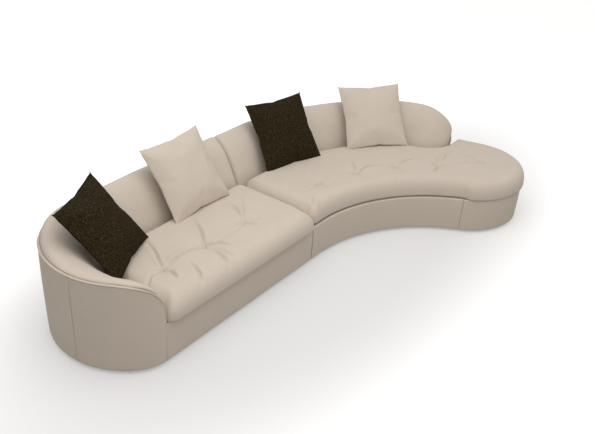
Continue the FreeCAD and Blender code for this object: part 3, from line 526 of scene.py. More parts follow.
def yarn_group():
    """Looped yarn: rounded loops on a dark ground, with paler flecks that fade out towards the gaps
    between the loops, a painted shade there.
    """
    inputs = [("Dark", (0.01, 0.008, 0.005, 1.0)), ("Fleck", (0.1, 0.08, 0.05, 1.0))]
    group, given = new_group("looped yarn", inputs + [("Loop scale", 130.0)])
    points = object_points(group)
    bend = put_node(group, "ShaderNodeTexNoise", [("Vector", points)], Scale=60.0, Detail=2.0)
    links = [(0, bend.outputs["Color"])]
    moved = put_node(group, "ShaderNodeVectorMath", links, operation="SCALE", Scale=0.02)
    links = [(0, points), (1, moved.outputs[0])]
    mixed = put_node(group, "ShaderNodeVectorMath", links, operation="ADD")
    links = [("Vector", mixed.outputs[0]), ("Scale", given["Loop scale"])]
    loops = put_node(group, "ShaderNodeTexVoronoi", links, feature="SMOOTH_F1")
    round_top = maths(group, "SUBTRACT", 1.0, loops.outputs["Distance"])
    fleck = noise(group, points, 150.0, 4.0, 0.7)
    share = maths(group, "MULTIPLY", maths(group, "SUBTRACT", fleck, 0.42), 5.0)
    share = maths(group, "MINIMUM", maths(group, "MAXIMUM", share, 0.0), 1.0)
    # Painted shade: the flecks fade towards the gaps between the loops
    share = maths(group, "MULTIPLY", share, round_top)
    colour = mix_colours(group, share, given["Dark"], given["Fleck"])
    height = maths(group, "ADD", round_top, maths(group, "MULTIPLY", fleck, 0.4))
    return send_out(group, colour, maths(group, "MULTIPLY_ADD", fleck, 0.1, 0.85), height)


def timber_group():
    """Sawn timber: stretched rings and fine fibres along one way of the piece."""
    inputs = [("Early", (0.6, 0.42, 0.25, 1.0)), ("Late", (0.4, 0.25, 0.13, 1.0))]
    group, given = new_group("sawn timber", inputs)
    stretch = put_node(group, "ShaderNodeMapping", [("Vector", object_points(group))])
    stretch.inputs["Scale"].default_value = (1.0, 3.0, 14.0)
    long_way = stretch.outputs[0]
    values = {"Scale": 3.0, "Distortion": 6.0, "Detail": 3.0}
    rings = put_node(group, "ShaderNodeTexWave", [("Vector", long_way)], **values)
    fibre = noise(group, long_way, 60.0, 4.0)
    share = maths(group, "MULTIPLY", rings.outputs["Fac"], fibre)
    colour = mix_colours(group, share, given["Early"], given["Late"])
    return send_out(group, colour, maths(group, "MULTIPLY_ADD", fibre, 0.2, 0.55), fibre)


def plain_group():
    """A plain moulded, pressed or rolled finish: fine grain with slow changes of shade."""
    inputs = [("Colour", (0.5, 0.5, 0.5, 1.0)), ("Grain scale", 400.0)]
    group, given = new_group("plain finish", inputs + [("Change", 0.3), ("Base roughness", 0.5)])
    points = object_points(group)
    links = [("Vector", points), ("Scale", given["Grain scale"])]
    grain = put_node(group, "ShaderNodeTexNoise", links, Detail=4.0).outputs["Fac"]
    slow = noise(group, points, 20.0)
    both = maths(group, "MULTIPLY", maths(group, "ADD", grain, slow), 0.5)
    factor = maths(group, "ADD", spread(group, both, given["Change"]), 1.0)
    colour = shade_by(group, given["Colour"], factor)
    rough = maths(group, "MULTIPLY_ADD", grain, 0.15, given["Base roughness"])
    return send_out(group, colour, rough, grain)


def get_group(name, make):
    return bpy.data.node_groups.get(name) or make()


def surface(name, group, values, bump=0.3, depth=0.0005, sheen=0.0, metallic=0.0):
    """A material whose colour, roughness and height come from a node group."""
    if name in bpy.data.materials:
        return bpy.data.materials[name]
    material = bpy.data.materials.new(name)
    material.use_nodes = True
    tree = material.node_tree
    shader = tree.nodes["Principled BSDF"]
    made = tree.nodes.new("ShaderNodeGroup")
    made.node_tree = group
    for label, value in values.items():
        made.inputs[label].default_value = value
    links = [("Height", made.outputs["Height"])]
    raised = put_node(tree, "ShaderNodeBump", links, Strength=bump, Distance=depth)
    tree.links.new(made.outputs["Colour"], shader.inputs["Base Color"])
    tree.links.new(made.outputs["Roughness"], shader.inputs["Roughness"])
    tree.links.new(raised.outputs["Normal"], shader.inputs["Normal"])
    shader.inputs["Metallic"].default_value = metallic
    shader.inputs["Specular IOR Level"].default_value = 0.2 if sheen else 0.4
    if sheen:
        shader.inputs["Sheen Weight"].default_value = sheen
        shader.inputs["Sheen Roughness"].default_value = 0.6
    return material


def weave(name, colour, scale=900.0, clouding=0.07, grain=0.12, bump=0.35, depth=0.0006, sheen=0.12):
    group = get_group("napped weave", weave_group)
    values = {"Colour": (*colour, 1.0), "Thread scale": scale, "Clouding": clouding, "Grain": grain}
    return surface(name, group, values, bump, depth, sheen)


def plain(name, colour, grain=400.0, change=0.2, rough=0.5, bump=0.15, metallic=0.0):
    group = get_group("plain finish", plain_group)
    values = {"Colour": (*colour, 1.0), "Grain scale": grain, "Change": change, "Base roughness": rough}
    return surface(name, group, values, bump, 0.0003, 0.0, metallic)


def seat_cloth():
    return weave("seat cloth", bpy.context.scene.sofa_colours.seat)


def shell_cloth():
    return weave("shell cloth", bpy.context.scene.sofa_colours.shell)


# Settings


def colour_setting(name, description, value):
    return FloatVectorProperty(name=name, description=description, subtype="COLOR", default=value)


def length_setting(name, description, value):
    return FloatProperty(name=name, description=description, default=value, unit="LENGTH")


class SofaColours(bpy.types.PropertyGroup):
    seat: colour_setting("Seat cloth", "Cloth of the cushions and pads", (0.57, 0.495, 0.418))
    shell: colour_setting("Shell cloth", "Cloth of the outer panels", (0.57, 0.495, 0.41))
    yarn: colour_setting("Dark yarn", "Ground of the dark pillows", (0.0085, 0.0055, 0.0018))
    fleck: colour_setting("Yarn fleck", "Flecks of the dark pillows", (0.075, 0.056, 0.026))
    floor: colour_setting("Floor", "Pale studio floor", (0.97, 0.97, 0.97))


class SofaSizes(bpy.types.PropertyGroup):
    seat_crown: length_setting("Seat crown", "Height of the seat", SEAT_CROWN)
    seat_round: length_setting("Seat rounding", "Run of a rim", 0.13)
    rim_height: length_setting("Rim", "Rim over the base", 0.018)
    tuft_depth: length_setting("Tuft depth", "Depth of a tuft", 0.036)
    fold_depth: length_setting("Fold depth", "Depth of a fold", 0.024)
    fold_width: length_setting("Fold width", "Half width of a fold", 0.008)
    pillow_side: length_setting("Pillow side", "Side of a pillow", 0.5)
    pillow_thickness: length_setting("Pillow thickness", "Middle of a pillow", 0.134)
    pillow_air: FloatProperty(
        name="Pillow fill", description="Pressure that fills a pillow", default=5.0
    )
    piping_radius: length_setting("Piping", "Radius of the piping", 0.0034)


class SofaStage(bpy.types.PropertyGroup):
    lens: FloatProperty(name="Lens", description="Focal length in mm", default=42.99)
    sky: FloatProperty(name="Sky", description="Strength of the even light", default=0.66)
    lamp: FloatProperty(
        name="Lamp", description="Power of the large lamp overhead", default=80.0, unit="POWER"
    )


# Outer and base panels

# The cloth's bow over a board, its waves, what is left of its thickness at an end, and its places
PANEL_BULGE = 0.003
PANEL_WAVE = 0.0012
PANEL_WAVE_LENGTH = 0.3
PANEL_END_LEAST = 0.15
UNDER_PIPING = 0.001
PANEL_TOP = PIPING_HEIGHT - UNDER_PIPING
ARM_PANEL_START = 0.001
HALF_GAP = MODULE_GAP / 2


def panel_form(name, line, first, last, top, count):
    """An upholstered board: a thin loop of board, padding and cloth carried along a plan line.

    The loop goes up the outer face, which bows out by a sine of the height, over a round top edge,
    down the inner face and round the bottom edge. Both ends are rounded by a quarter circle.
    """
    share = first + (last - first) * spaced(count)
    run = (share - first) * total(line)
    left = (last - share) * total(line)
    edge = PANEL / 2
    height = top(share)[:, None]
    rise = np.linspace(0.0, 1.0, 40)[None, :]
    turn = np.linspace(0.0, np.pi, 9)[None, 1:-1]
    low, high = PANEL_BOTTOM + edge, height - edge
    outer = [-PANEL_BULGE * np.sin(np.pi * rise) ** 0.7, low + (high - low) * rise]
    over = [edge - edge * np.cos(turn), high + edge * np.sin(turn)]
    inner = [PANEL + 0 * rise[:, ::8], high - (high - low) * rise[:, ::8]]
    under = [edge + edge * np.cos(turn), low - edge * np.sin(turn)]
    inset, level = ring_of((outer, over, inner, under), 0 * height)
    squeeze = quarter(np.minimum(run, left), edge)[:, None]
    inset = edge + (inset - edge) * (PANEL_END_LEAST + (1.0 - PANEL_END_LEAST) * squeeze)
    place, heading = along(line, share)
    grid = carried(place, right_hand(heading), inset, level)
    return tube_form(name, swell(grid, PANEL_WAVE * ripple(grid, 5, PANEL_WAVE_LENGTH)))


def dress_panel(name, line, first, last, top, count, body, node):
    """One upholstered board in the place of the CAD's panel."""
    piece = panel_form(name, line, first, last, top, count)
    finish_piece(piece, body, shell_cloth(), [node])


def level_top(height):
    return lambda share: np.full_like(share, height)


def arm_top(share):
    place, _ = along(ARM_PANEL, share)
    return np.minimum(nose_height(-FRONT_LENGTH - place[:, 0]), PIPING_HEIGHT) - UNDER_PIPING


def back_top(share):
    return PANEL_TOP - back_fall((1.0 - share) * total(RIGHT_BACK))


class SOFA_OT_outer_panels(bpy.types.Operator):
    """Makes the upholstered outer panels of the arm and the backs"""

    bl_idname = "sofa.outer_panels"
    bl_label = "Outer panels"

    def execute(self, context):
        back = part_of(LEFT, 3, 7)
        start = HALF_GAP / total(RIGHT_BACK)
        end = 1.0 - HALF_GAP / total(back)
        level = level_top(PANEL_TOP)
        node = "left_arm_outer_panel"
        dress_panel("arm_outer_cloth", ARM_PANEL, ARM_PANEL_START, 1.0, arm_top, 90, "left_module", node)
        node = "left_back_outer_panel"
        dress_panel("left_back_outer_cloth", back, 0.0, end, level, 150, "left_module", node)
        node = "right_back_outer_panel"
        dress_panel("right_back_outer_cloth", RIGHT_BACK, start, 1.0, back_top, 170, "right_module", node)
        return {"FINISHED"}


class SOFA_OT_base_panels(bpy.types.Operator):
    """Makes the upholstered base panels under the seat cushions"""

    bl_idname = "sofa.base_panels"
    bl_label = "Base panels"

    def execute(self, context):
        top = level_top(BASE_TOP)
        start = HALF_GAP / total(LEFT_FRONT)
        end = 1.0 - HALF_GAP / total(RIGHT_FRONT)
        node = "left_base_panel"
        dress_panel("left_base_cloth", LEFT_FRONT, start, 1.0, top, 110, "left_module", node)
        node = "right_base_panel"
        dress_panel("right_base_cloth", RIGHT_FRONT, 0.0, end, top, 130, "right_module", node)
        node = "right_lobe_panel"
        dress_panel("lobe_base_cloth", LOBE, 0.0, 1.0, top, 150, "right_module", node)
        return {"FINISHED"}


# Piping

# Its way out from the panels, its gap at the joint and its drop under the rim of each module
PIPING_OUT = 0.0005
PIPING_JOINT_GAP = 0.003
LEFT_PIPING_DROP = 0.003
RIGHT_PIPING_DROP = 0.002

# The straight run up the arm's front: its points, and the room left at its foot and its top
POST_POINTS = 30
POST_ROOM = 0.006

# Shares of the left line round its nose, and of the right line where its end starts to fall
NOSE_SHARE = 0.16
AFTER_NOSE = 0.165
PIPING_FALL_START = 0.82
PIPING_FALL_SHARE = 0.18


def cord_form(name, places, sides, radius):
    """A round cord along points: a circle set across the line, from its side way and its up way."""
    ahead = np.gradient(places, axis=0)
    ahead /= np.linalg.norm(ahead, axis=1, keepdims=True)
    side = np.concatenate([sides, np.zeros((len(sides), 1))], axis=1)
    up = np.cross(ahead, side)
    up /= np.linalg.norm(up, axis=1, keepdims=True)
    turn = np.linspace(0.0, 2 * np.pi, 13)[None, :-1, None]
    round_it = side[:, None, :] * np.cos(turn) + up[:, None, :] * np.sin(turn)
    return tube_form(name, places[:, None, :] + round_it * radius)


def left_piping_line():
    """Up the arm's front edge, over its nose and along the shell to the joint."""
    end = 1.0 - PIPING_JOINT_GAP / total(LEFT_SHELL)
    share = np.concatenate([np.linspace(0, NOSE_SHARE, 90), np.linspace(AFTER_NOSE, end, 170)])
    plan, heading = along(LEFT_SHELL, share, -PIPING_OUT)
    level = nose_height(np.maximum(0.0, -FRONT_LENGTH - plan[:, 0])) - LEFT_PIPING_DROP
    down = np.linspace(PANEL_BOTTOM + POST_ROOM, NOSE_BOTTOM - POST_ROOM, POST_POINTS)
    post = np.column_stack([np.repeat(plan[:1], POST_POINTS, axis=0), down])
    sides = right_hand(heading)
    places = np.concatenate([post, np.column_stack([plan, level])])
    return places, np.concatenate([np.repeat(sides[:1], POST_POINTS, axis=0), sides])


def right_piping_line():
    """From the joint along the back and down its rounded end."""
    fall = quarter(np.linspace(0.002, 1, 90), 1.0)
    start = PIPING_JOINT_GAP / total(RIGHT_BACK)
    level = np.linspace(start, PIPING_FALL_START, 120)
    share = np.concatenate([level, PIPING_FALL_START + PIPING_FALL_SHARE * fall])
    plan, heading = along(RIGHT_BACK, share, -PIPING_OUT)
    return np.column_stack([plan, back_top(share) - RIGHT_PIPING_DROP]), right_hand(heading)


class SOFA_OT_piping(bpy.types.Operator):
    """Makes the sewn piping along the outer top edge of both modules"""

    bl_idname = "sofa.piping"
    bl_label = "Piping"

    def execute(self, context):
        radius = context.scene.sofa_sizes.piping_radius
        cloth = weave("piping cloth", context.scene.sofa_colours.shell, 1200.0)
        for side, line in (("left", left_piping_line()), ("right", right_piping_line())):
            piece = cord_form(side + "_piping_cord", *line, radius)
            finish_piece(piece, side + "_module", cloth, [side + "_piping"])
        return {"FINISHED"}


# Back pads

# The pad's section: its foot, how far its face leans and bows, where its roll starts, the two pulls
# of that roll at each end, and the room for the shelf and the pocket of the frame behind it
PAD_FOOT = 0.012
PAD_FACE_LEAST = 0.02
PAD_LEAN_MOST = 0.32
PAD_BELLY = 0.011
PAD_ROLL = 0.42
PAD_ROLL_WIDTH = 0.34
PAD_POCKET_MOST = 0.42
PAD_ROLL_IN = 0.43
PAD_ROLL_UP = 0.77
PAD_BACK_IN = 0.05
PAD_BACK_UP = 2.15
PAD_SHELF_OVER = 0.003
PAD_SHELF_UNDER = 0.008
PAD_EDGE_LEAST = 0.004
PAD_SKIN = 0.001

# The drawn-in ends and the slow and quick waves of the pad's cloth
PAD_END_DRAW = 0.02
PAD_END_RUN = 0.03
PAD_WAVES = ((0.0022, 0.35), (0.0009, 0.09))

# The left pad's start on the arm, how far its nose turns in and how high it rises over the rim there
PAD_NOSE_START = 0.09
PAD_NOSE_TURN = 0.04
PAD_NOSE_OVER = 0.006

# Shares of the right pad's line where its end starts to fall and that the fall takes
PAD_FALL_START = 0.85
PAD_FALL_SHARE = 0.1485

# Points in each part of the section
FLAT_POINTS = 9
FACE_POINTS = 29
ROLL_POINTS = 49


def bezier(first, second, third, last, share):
    """The cubic through its end points with two pulling points, as whole arrays."""
    rest = 1.0 - share
    return rest**3 * first + 3 * rest**2 * share * second + 3 * rest * share**2 * third + share**3 * last


def pad_form(name, outer, heading, inner, crown, edge, runs, seed):
    """A back pad: a closed section carried from outer to inner points.

    Each section runs along the foot, up a leaning face that bows by a sine, over the crown in one
    cubic, down behind the outer panel and round the pocket of the frame. The free end is drawn in
    by a quarter circle, and slow waves soften the cloth.
    """
    across = inner - outer
    width = np.linalg.norm(across, axis=1)
    across = across / width[:, None]
    slant = (across * right_hand(heading)).sum(axis=1)
    foot = np.full_like(width, BASE_TOP + REST_GAP)
    skin = (PANEL + PAD_SKIN) / slant
    pocket = np.minimum(POCKET / slant, width * PAD_POCKET_MOST)
    face_top = crown - PAD_ROLL * np.minimum(width, PAD_ROLL_WIDTH)
    face_top = np.maximum(foot + PAD_FACE_LEAST, face_top)
    face = width - np.minimum(BACK_LEAN * (face_top - foot), width * PAD_LEAN_MOST)
    shelf = np.minimum(TOP_RAIL_TOP + PAD_SHELF_OVER, face_top - PAD_SHELF_UNDER)
    shelf = np.minimum(np.maximum(foot + PAD_FOOT, shelf), edge - PAD_EDGE_LEAST)
    columns = [skin, pocket, width, foot, face_top, face, shelf, crown, edge]
    columns = [value[:, None] for value in columns]
    skin, pocket, width, foot, face_top, face, shelf, crown, edge = columns
    lift = crown - face_top
    rise = crown - edge
    flat = np.linspace(0.0, 1.0, FLAT_POINTS)[None, :]
    short = flat[:, :-1]
    bow = np.linspace(0.0, 1.0, FACE_POINTS)[None, :-1]
    roll = np.linspace(0.0, 1.0, ROLL_POINTS)[None, :-1]
    under = [pocket + (width - PAD_FOOT - pocket) * flat, foot]
    belly = PAD_BELLY * np.sin(np.pi * bow)
    leaning = width + (face - width) * bow + belly
    front = [leaning, foot + PAD_FOOT + (face_top - foot - PAD_FOOT) * bow]
    pull = skin + PAD_BACK_IN * width
    lifted = edge + PAD_BACK_UP * rise + PAD_EDGE_LEAST
    over = [
        bezier(face, face - PAD_ROLL_IN * lift, pull, skin, roll),
        bezier(face_top, face_top + PAD_ROLL_UP * lift, lifted, edge, roll),
    ]
    back = [skin, edge + (shelf - edge) * short]
    step = [skin + (pocket - skin) * short, shelf]
    down = [pocket, shelf + (foot - shelf) * short]
    parts = [np.broadcast_arrays(*part) for part in (under, front, over, back, step, down)]
    inset, level = ring_of(parts, 0 * width)
    grid = carried(outer, across, inset, level)
    seen = np.zeros(inset.shape[1])
    seen[FLAT_POINTS : FLAT_POINTS + FACE_POINTS + ROLL_POINTS - 2] = 1.0
    draw = -PAD_END_DRAW * (1.0 - quarter(runs, PAD_END_RUN))[:, None] * seen
    for place, (height, length) in enumerate(PAD_WAVES):
        draw = draw + height * ripple(grid, seed + place, length) * seen
    return tube_form(name, swell(grid, draw))


def left_pad_lines():
    """Outer and inner points, crown and edge heights from the arm's nose to the module joint."""
    arm = np.linspace(PAD_NOSE_START, 1.0, 60)[:-1]
    outer, heading = along(ARM, arm)
    inner, _ = along(INNER_ARM, arm)
    inner = inner + np.stack([0 * arm, PAD_NOSE_TURN * (1 - arm)], axis=1)
    edge = nose_height(-FRONT_LENGTH - outer[:, 0])
    crown = edge + PAD_NOSE_OVER + (ARM_CROWN - PIPING_HEIGHT - PAD_NOSE_OVER) * arm
    turn = np.linspace(0.0, 1.0, 70)[:-1]
    corner, corner_heading = along(CORNER, turn)
    corner_inner, _ = along(INNER_CORNER, turn)
    corner_crown = ARM_CROWN + (BACK_CROWN - ARM_CROWN) * np.sin(turn * np.pi / 2)
    back = np.linspace(0.0, 1.0, 60)
    straight, straight_heading = along(LEFT_BACK, back)
    straight[:, 0] = np.minimum(straight[:, 0], -MODULE_GAP / 2)
    start, _ = line_end(INNER_CORNER)
    straight_inner = start + (LEFT_INNER_END - start) * back[:, None]
    outers = np.concatenate([outer, corner, straight])
    headings = np.concatenate([heading, corner_heading, straight_heading])
    inners = np.concatenate([inner, corner_inner, straight_inner])
    crowns = np.concatenate([crown, corner_crown, np.full(len(back), BACK_CROWN)])
    edges = np.concatenate([edge, np.full(len(turn) + len(back), PIPING_HEIGHT)])
    return outers, headings, inners, crowns, edges


def right_pad_lines():
    fall = quarter(np.linspace(0, 1, 60), 1.0)
    level = np.linspace(0.0, PAD_FALL_START, 130)[:-1]
    share = np.concatenate([level, PAD_FALL_START + PAD_FALL_SHARE * fall])
    outer, heading = along(RIGHT_BACK, share)
    run = (1.0 - share) * total(RIGHT_BACK)
    inner = outer + right_hand(heading) * back_width(run)[:, None]
    outer[0, 0] = inner[0, 0] = MODULE_GAP / 2
    drop = back_fall(run)
    return outer, heading, inner, BACK_CROWN - drop, PIPING_HEIGHT - drop


def runs_from(outer):
    steps = np.linalg.norm(np.diff(outer, axis=0), axis=1)
    return np.concatenate([[0.0], np.cumsum(steps)])


class SOFA_OT_back_pads(bpy.types.Operator):
    """Makes the soft back pads, the left one running on as the arm's rounded top"""

    bl_idname = "sofa.back_pads"
    bl_label = "Back pads"

    def execute(self, context):
        left = left_pad_lines()
        right = right_pad_lines()
        runs = runs_from(left[0])
        pads = (("left", left, runs[-1] - runs, 11), ("right", right, runs_from(right[0]), 17))
        for side, lines, from_end, seed in pads:
            piece = pad_form(side + "_back_pad_cloth", *lines, from_end, seed)
            nodes = [side + "_back_pad"]
            finish_piece(piece, side + "_module", seat_cloth(), nodes)
        return {"FINISHED"}


# Seat cushions

# The rim: the power of its rise, the round under it, and the runs over which the relief fades in
RIM_POWER = 2.4
RIM_UNDER = 0.016
RELIEF_RUN = 0.09
RIM_WAVE_RUN = 0.05
END_ROUND = 0.8
LEFT_REAR_ROUND = 0.5
RIGHT_RIM_ROUND = 0.68
CORNER_ROUND = 0.07

# Waves of the cushion's cloth over its top and along its rim: height and length
TOP_WAVE = (0.0035, 0.42)
FINE_WAVE = (0.0012, 0.11)
RIM_WAVE = (0.0012, 0.035)
SEAM_DEPTH = 0.002
SEAM_WIDTH = 0.003

# A tuft: the reach of its cone and of its core, and its pleats' height, place and reach
TUFT_REACH = 0.055
TUFT_CORE = 0.013
PLEAT_HEIGHT = 0.0042
PLEAT_PLACE = 0.035
PLEAT_REACH = 0.03
FOLD_END_RUN = 0.012

# The share of the right cushion that lies square to the joint
SQUARE_SHARE = 0.1


def nearest(points, line):
    """The distance from each point to a line of points, over all its straight parts at once."""
    first, last = line[:-1].astype(np.float32), line[1:].astype(np.float32)
    way = last - first
    size = np.maximum((way**2).sum(axis=1), 1e-12)
    away = points[:, None, :].astype(np.float32) - first
    share = np.clip((away * way).sum(axis=2) / size, 0.0, 1.0)
    gap = away - way * share[..., None]
    return np.sqrt((gap**2).sum(axis=2).min(axis=1)).astype(float)


def arc_offset(points, folds):
    """Distance beside each bowed fold and the share run along it, for every point and fold."""
    first, last = folds[:, :2], folds[:, 2:4]
    way = last - first
    length = np.linalg.norm(way, axis=1)
    way = way / length[:, None]
    side = np.stack([-way[:, 1], way[:, 0]], axis=1)
    away = points[:, None, :] - first
    run = (away * way).sum(axis=2)
    share = run / length
    off = (away * side).sum(axis=2) - folds[:, 4] * 4 * share * (1 - share)
    return off, run, share, length


def fold_relief(points, folds, depth, width):
    """Folds: each a valley with a softer ridge beside it, fading at both ends of its arc."""
    off, run, share, length = arc_offset(points, folds)
    past = np.maximum(0.0, np.maximum(-run, run - length))
    fullness = 0.35 + 0.65 * np.sin(np.pi * np.clip(share, 0.02, 0.98))
    fade = np.exp(-((past / FOLD_END_RUN) ** 2)) * fullness
    wide = width * (0.8 + 0.5 * share)
    valley = -np.exp(-((off / wide) ** 2))
    ridge = 0.24 * np.exp(-(((off - 2.2 * wide) / (1.7 * wide)) ** 2))
    ridge += 0.12 * np.exp(-(((off + 2.4 * wide) / (2.0 * wide)) ** 2))
    return (depth * folds[:, 5] * (valley + ridge) * fade).sum(axis=1)


def tuft_relief(points, tufts, depth):
    """Tufts: cloth drawn down in a soft cone, with short pleats that fan out from it."""
    away = points[:, None, :] - tufts
    far = np.linalg.norm(away, axis=2)
    angle = np.arctan2(away[..., 1], away[..., 0])
    core = np.exp(-((far / TUFT_CORE) ** 2))
    cone = -depth * (0.72 * np.exp(-far / TUFT_REACH) + 0.28 * core)
    phase = np.arange(len(tufts)) * 1.7
    pleat = np.sin(7 * angle + phase) * 0.6 + np.sin(11 * angle - 2 * phase) * 0.4
    pleat = PLEAT_HEIGHT * pleat * np.exp(-((far - PLEAT_PLACE) ** 2) / PLEAT_REACH**2)
    return (cone + pleat).sum(axis=1)


def cushion_form(name, front, rear, sides, tufts, folds, sizes, seed, seams=()):
    """A seat cushion from two sheets over its plan, sewn together along the rim.

    The plan point is front + (rear - front) * share across. Its top rises from the rim by a product
    of rounded rises, one for the distance to each side, each 1 less a power of the remaining run.
    The bottom falls in a short quarter circle and is flat where it rests. Tufts, folds, seams and
    slow waves are then added to the top.
    """
    across = spaced(132)[None, :, None]
    plan = front[:, None, :] + (rear - front)[:, None, :] * across
    rows, columns = plan.shape[:2]
    points = plan.reshape(-1, 2)
    rise = np.ones(len(points))
    fall = np.ones(len(points))
    margin = np.full(len(points), 9.0)
    for line, roundness in sides:
        gap = nearest(points, line)
        margin = np.minimum(margin, gap)
        past = np.clip(1.0 - gap / (sizes.seat_round * roundness), 0.0, 1.0)
        rise *= (1.0 - past**RIM_POWER) ** (1 / RIM_POWER)
        fall *= quarter(gap, RIM_UNDER)
    low = BASE_TOP + REST_GAP
    rim = low + sizes.rim_height
    inside = np.clip(margin / RELIEF_RUN, 0.0, 1.0)
    top = rim + (sizes.seat_crown - rim) * rise
    relief = tuft_relief(points, tufts, sizes.tuft_depth)
    relief += fold_relief(points, folds, sizes.fold_depth, sizes.fold_width)
    for place, (height, length) in ((0, TOP_WAVE), (3, FINE_WAVE)):
        relief += height * ripple(points, seed + place, length)
    for line in seams:
        relief += SEAM_DEPTH * seam_groove(nearest(points, np.array(line)), SEAM_WIDTH)
    top = top + relief * inside
    bottom = rim - (rim - low) * fall
    edge = np.clip(1.0 - margin / RIM_WAVE_RUN, 0.0, 1.0)
    top = top + RIM_WAVE[0] * edge * (1 - edge) * 4 * ripple(points, seed + 5, RIM_WAVE[1])
    upper = np.column_stack([points, top]) + ORIGIN
    lower = np.column_stack([points, bottom]) + ORIGIN
    return sewn_pair(name, upper, lower, rows, columns, 2e-5)


def end_squeeze(front, rear, run):
    """Draws the front and rear lines together near an end, by a quarter circle."""
    way = rear - front
    way = way / np.linalg.norm(way, axis=1, keepdims=True)
    pull = (CORNER_ROUND * (1.0 - quarter(run, CORNER_ROUND)))[:, None]
    return front + way * pull, rear - way * pull * 0.8


def left_cushion_lines():
    low = max(INNER_ARM[0][0][0], -FRONT_LENGTH) + SOFT_GAP
    high = -MODULE_GAP / 2
    x = low + (high - low) * spaced(240)
    corner_end, _ = line_end(INNER_CORNER)
    share = np.clip((x - corner_end[0]) / -corner_end[0], 0.0, 1.0)
    back = corner_end[1] + (LEFT_INNER_END[1] - corner_end[1]) * share - SOFT_GAP
    back = back - INNER_CORNER_RADIUS * (1.0 - quarter(x - low, INNER_CORNER_RADIUS))
    back = back - 0.8 * CORNER_ROUND * (1.0 - quarter(high - x, CORNER_ROUND))
    short = np.minimum(x - low, high - x)
    ahead = -SEAT_OVERHANG + CORNER_ROUND * (1.0 - quarter(short, CORNER_ROUND))
    return np.column_stack([x, ahead]), np.column_stack([x, back])


def right_cushion_lines():
    """Front and rear lines: a fan along the curved seat, then round the lobe to its tip."""
    front_line = plan_line((0, 0), 0.0, SWEEP)
    end, heading = line_end(front_line)
    tip = 0.5 * (180.0 + math.degrees(RIGHT[1][5]))
    turns = [(LOBE_FRONT_RADIUS, -SWEEP[1][1]), (LOBE_RADIUS, -tip)]
    lobe_front = plan_line(end, math.degrees(heading), turns)
    turns = [(float(RIGHT[3][4]), 0.0), (LOBE_RADIUS, tip)]
    lobe_rear = plan_line(RIGHT[0][4], math.degrees(RIGHT[1][4]), turns)
    share = np.concatenate([0.5 * spaced(120)[:60], np.linspace(0.25, 1.0, 130)])
    run = share * total(front_line)
    overhang = LOBE_OVERHANG * np.minimum(1.0, run / 0.1)
    place, heading = along(front_line, share)
    front = place - right_hand(heading) * overhang[:, None]
    back, back_heading = along(RIGHT_BACK, share)
    behind = back_width((1.0 - share) * total(RIGHT_BACK)) + SOFT_GAP
    rear = back + right_hand(back_heading) * behind[:, None]
    for line in (front, rear):
        line[:, 0] = np.where(share < SQUARE_SHARE, HALF_GAP + run, line[:, 0])
    front, rear = end_squeeze(front, rear, run)
    around = 1.0 - (1.0 - np.linspace(0.0, 1.0, 110)[4:]) ** 1.6
    place, way = along(lobe_front, around)
    front = np.concatenate([front, place + right_hand(way) * LOBE_OVERHANG])
    place, way = along(lobe_rear, around)
    rear = np.concatenate([rear, place - right_hand(way) * LOBE_OVERHANG])
    return front, rear


def dress_cushion(side, lines, sides, tufts, folds, seed, seams=()):
    """One seat cushion in the place of the CAD's cover and core."""
    sizes = bpy.context.scene.sofa_sizes
    body = side + "_seat_cushion"
    piece = cushion_form(body + "_cloth", *lines, sides, tufts, folds, sizes, seed, seams)
    nodes = [side + "_seat_cover", side + "_seat_core"]
    finish_piece(piece, body, seat_cloth(), nodes)


class SOFA_OT_seat_cushions(bpy.types.Operator):
    """Makes the two loose seat cushions with their tufts and folds"""

    bl_idname = "sofa.seat_cushions"
    bl_label = "Seat cushions"

    def execute(self, context):
        front, rear = left_cushion_lines()
        ends = [(np.stack([front[place], rear[place]]), END_ROUND) for place in (0, -1)]
        sides = [(front, 1.0), (rear, LEFT_REAR_ROUND)] + ends
        dress_cushion("left", (front, rear), sides, LEFT_TUFTS, LEFT_FOLDS, 3)
        front, rear = right_cushion_lines()
        rim = np.concatenate([front, rear[::-1]])
        sides = [(rim, RIGHT_RIM_ROUND), (np.stack([front[0], rear[0]]), END_ROUND)]
        dress_cushion("right", (front, rear), sides, RIGHT_TUFTS, RIGHT_FOLDS, 8, [CROSS_SEAM])
        return {"FINISHED"}


# Pillows

# The sewn shape: how far its sides are drawn in, the power of its height, and its first fullness
SIDE_DRAW_IN = 0.045
FULLNESS = 0.42
FIRST_FULL = 0.9
SHEET_POINTS = 56

# The filling: what is kept of the cloth's own draw-in, its frames, and the cloth's settings
CLOTH_DRAW_IN = 0.25
FILLING_FRAMES = 24
FILLING_STEP = 0.06
CLOTH_STIFFNESS = 15.0
CLOTH_MASS = 0.3

# Soft waves over a pillow and short pulls along its seam: height and length
PILLOW_WAVE = (0.0035, 0.25)
SEAM_PULL = (0.0022, 0.03)
SEAM_PULL_PLACE = 0.86
SEAM_PULL_REACH = 0.1
FACE_RUN = 0.02


def pillow_shape(name, side, thickness):
    """Two sheets sewn along their edges into a pillow with drawn-in sides and pointed corners.

    The height over the seam is half the thickness times a power of (1 - u^2)(1 - v^2); each side is
    drawn in by a share of (1 - v^2) that grows with the square of u.
    """
    across = np.sin(np.pi / 2 * np.linspace(-1.0, 1.0, SHEET_POINTS))
    u, v = np.meshgrid(across, across, indexing="ij")
    x = u * side / 2 * (1.0 - SIDE_DRAW_IN * (1.0 - v**2) * u**2)
    y = v * side / 2 * (1.0 - SIDE_DRAW_IN * (1.0 - u**2) * v**2)
    z = thickness / 2 * np.clip((1.0 - u**2) * (1.0 - v**2), 0.0, 1.0) ** FULLNESS
    upper = np.stack([x, y, z], axis=-1).reshape(-1, 3)
    return sewn_pair(name, upper, upper * np.array([1.0, 1.0, -1.0]), SHEET_POINTS, SHEET_POINTS)


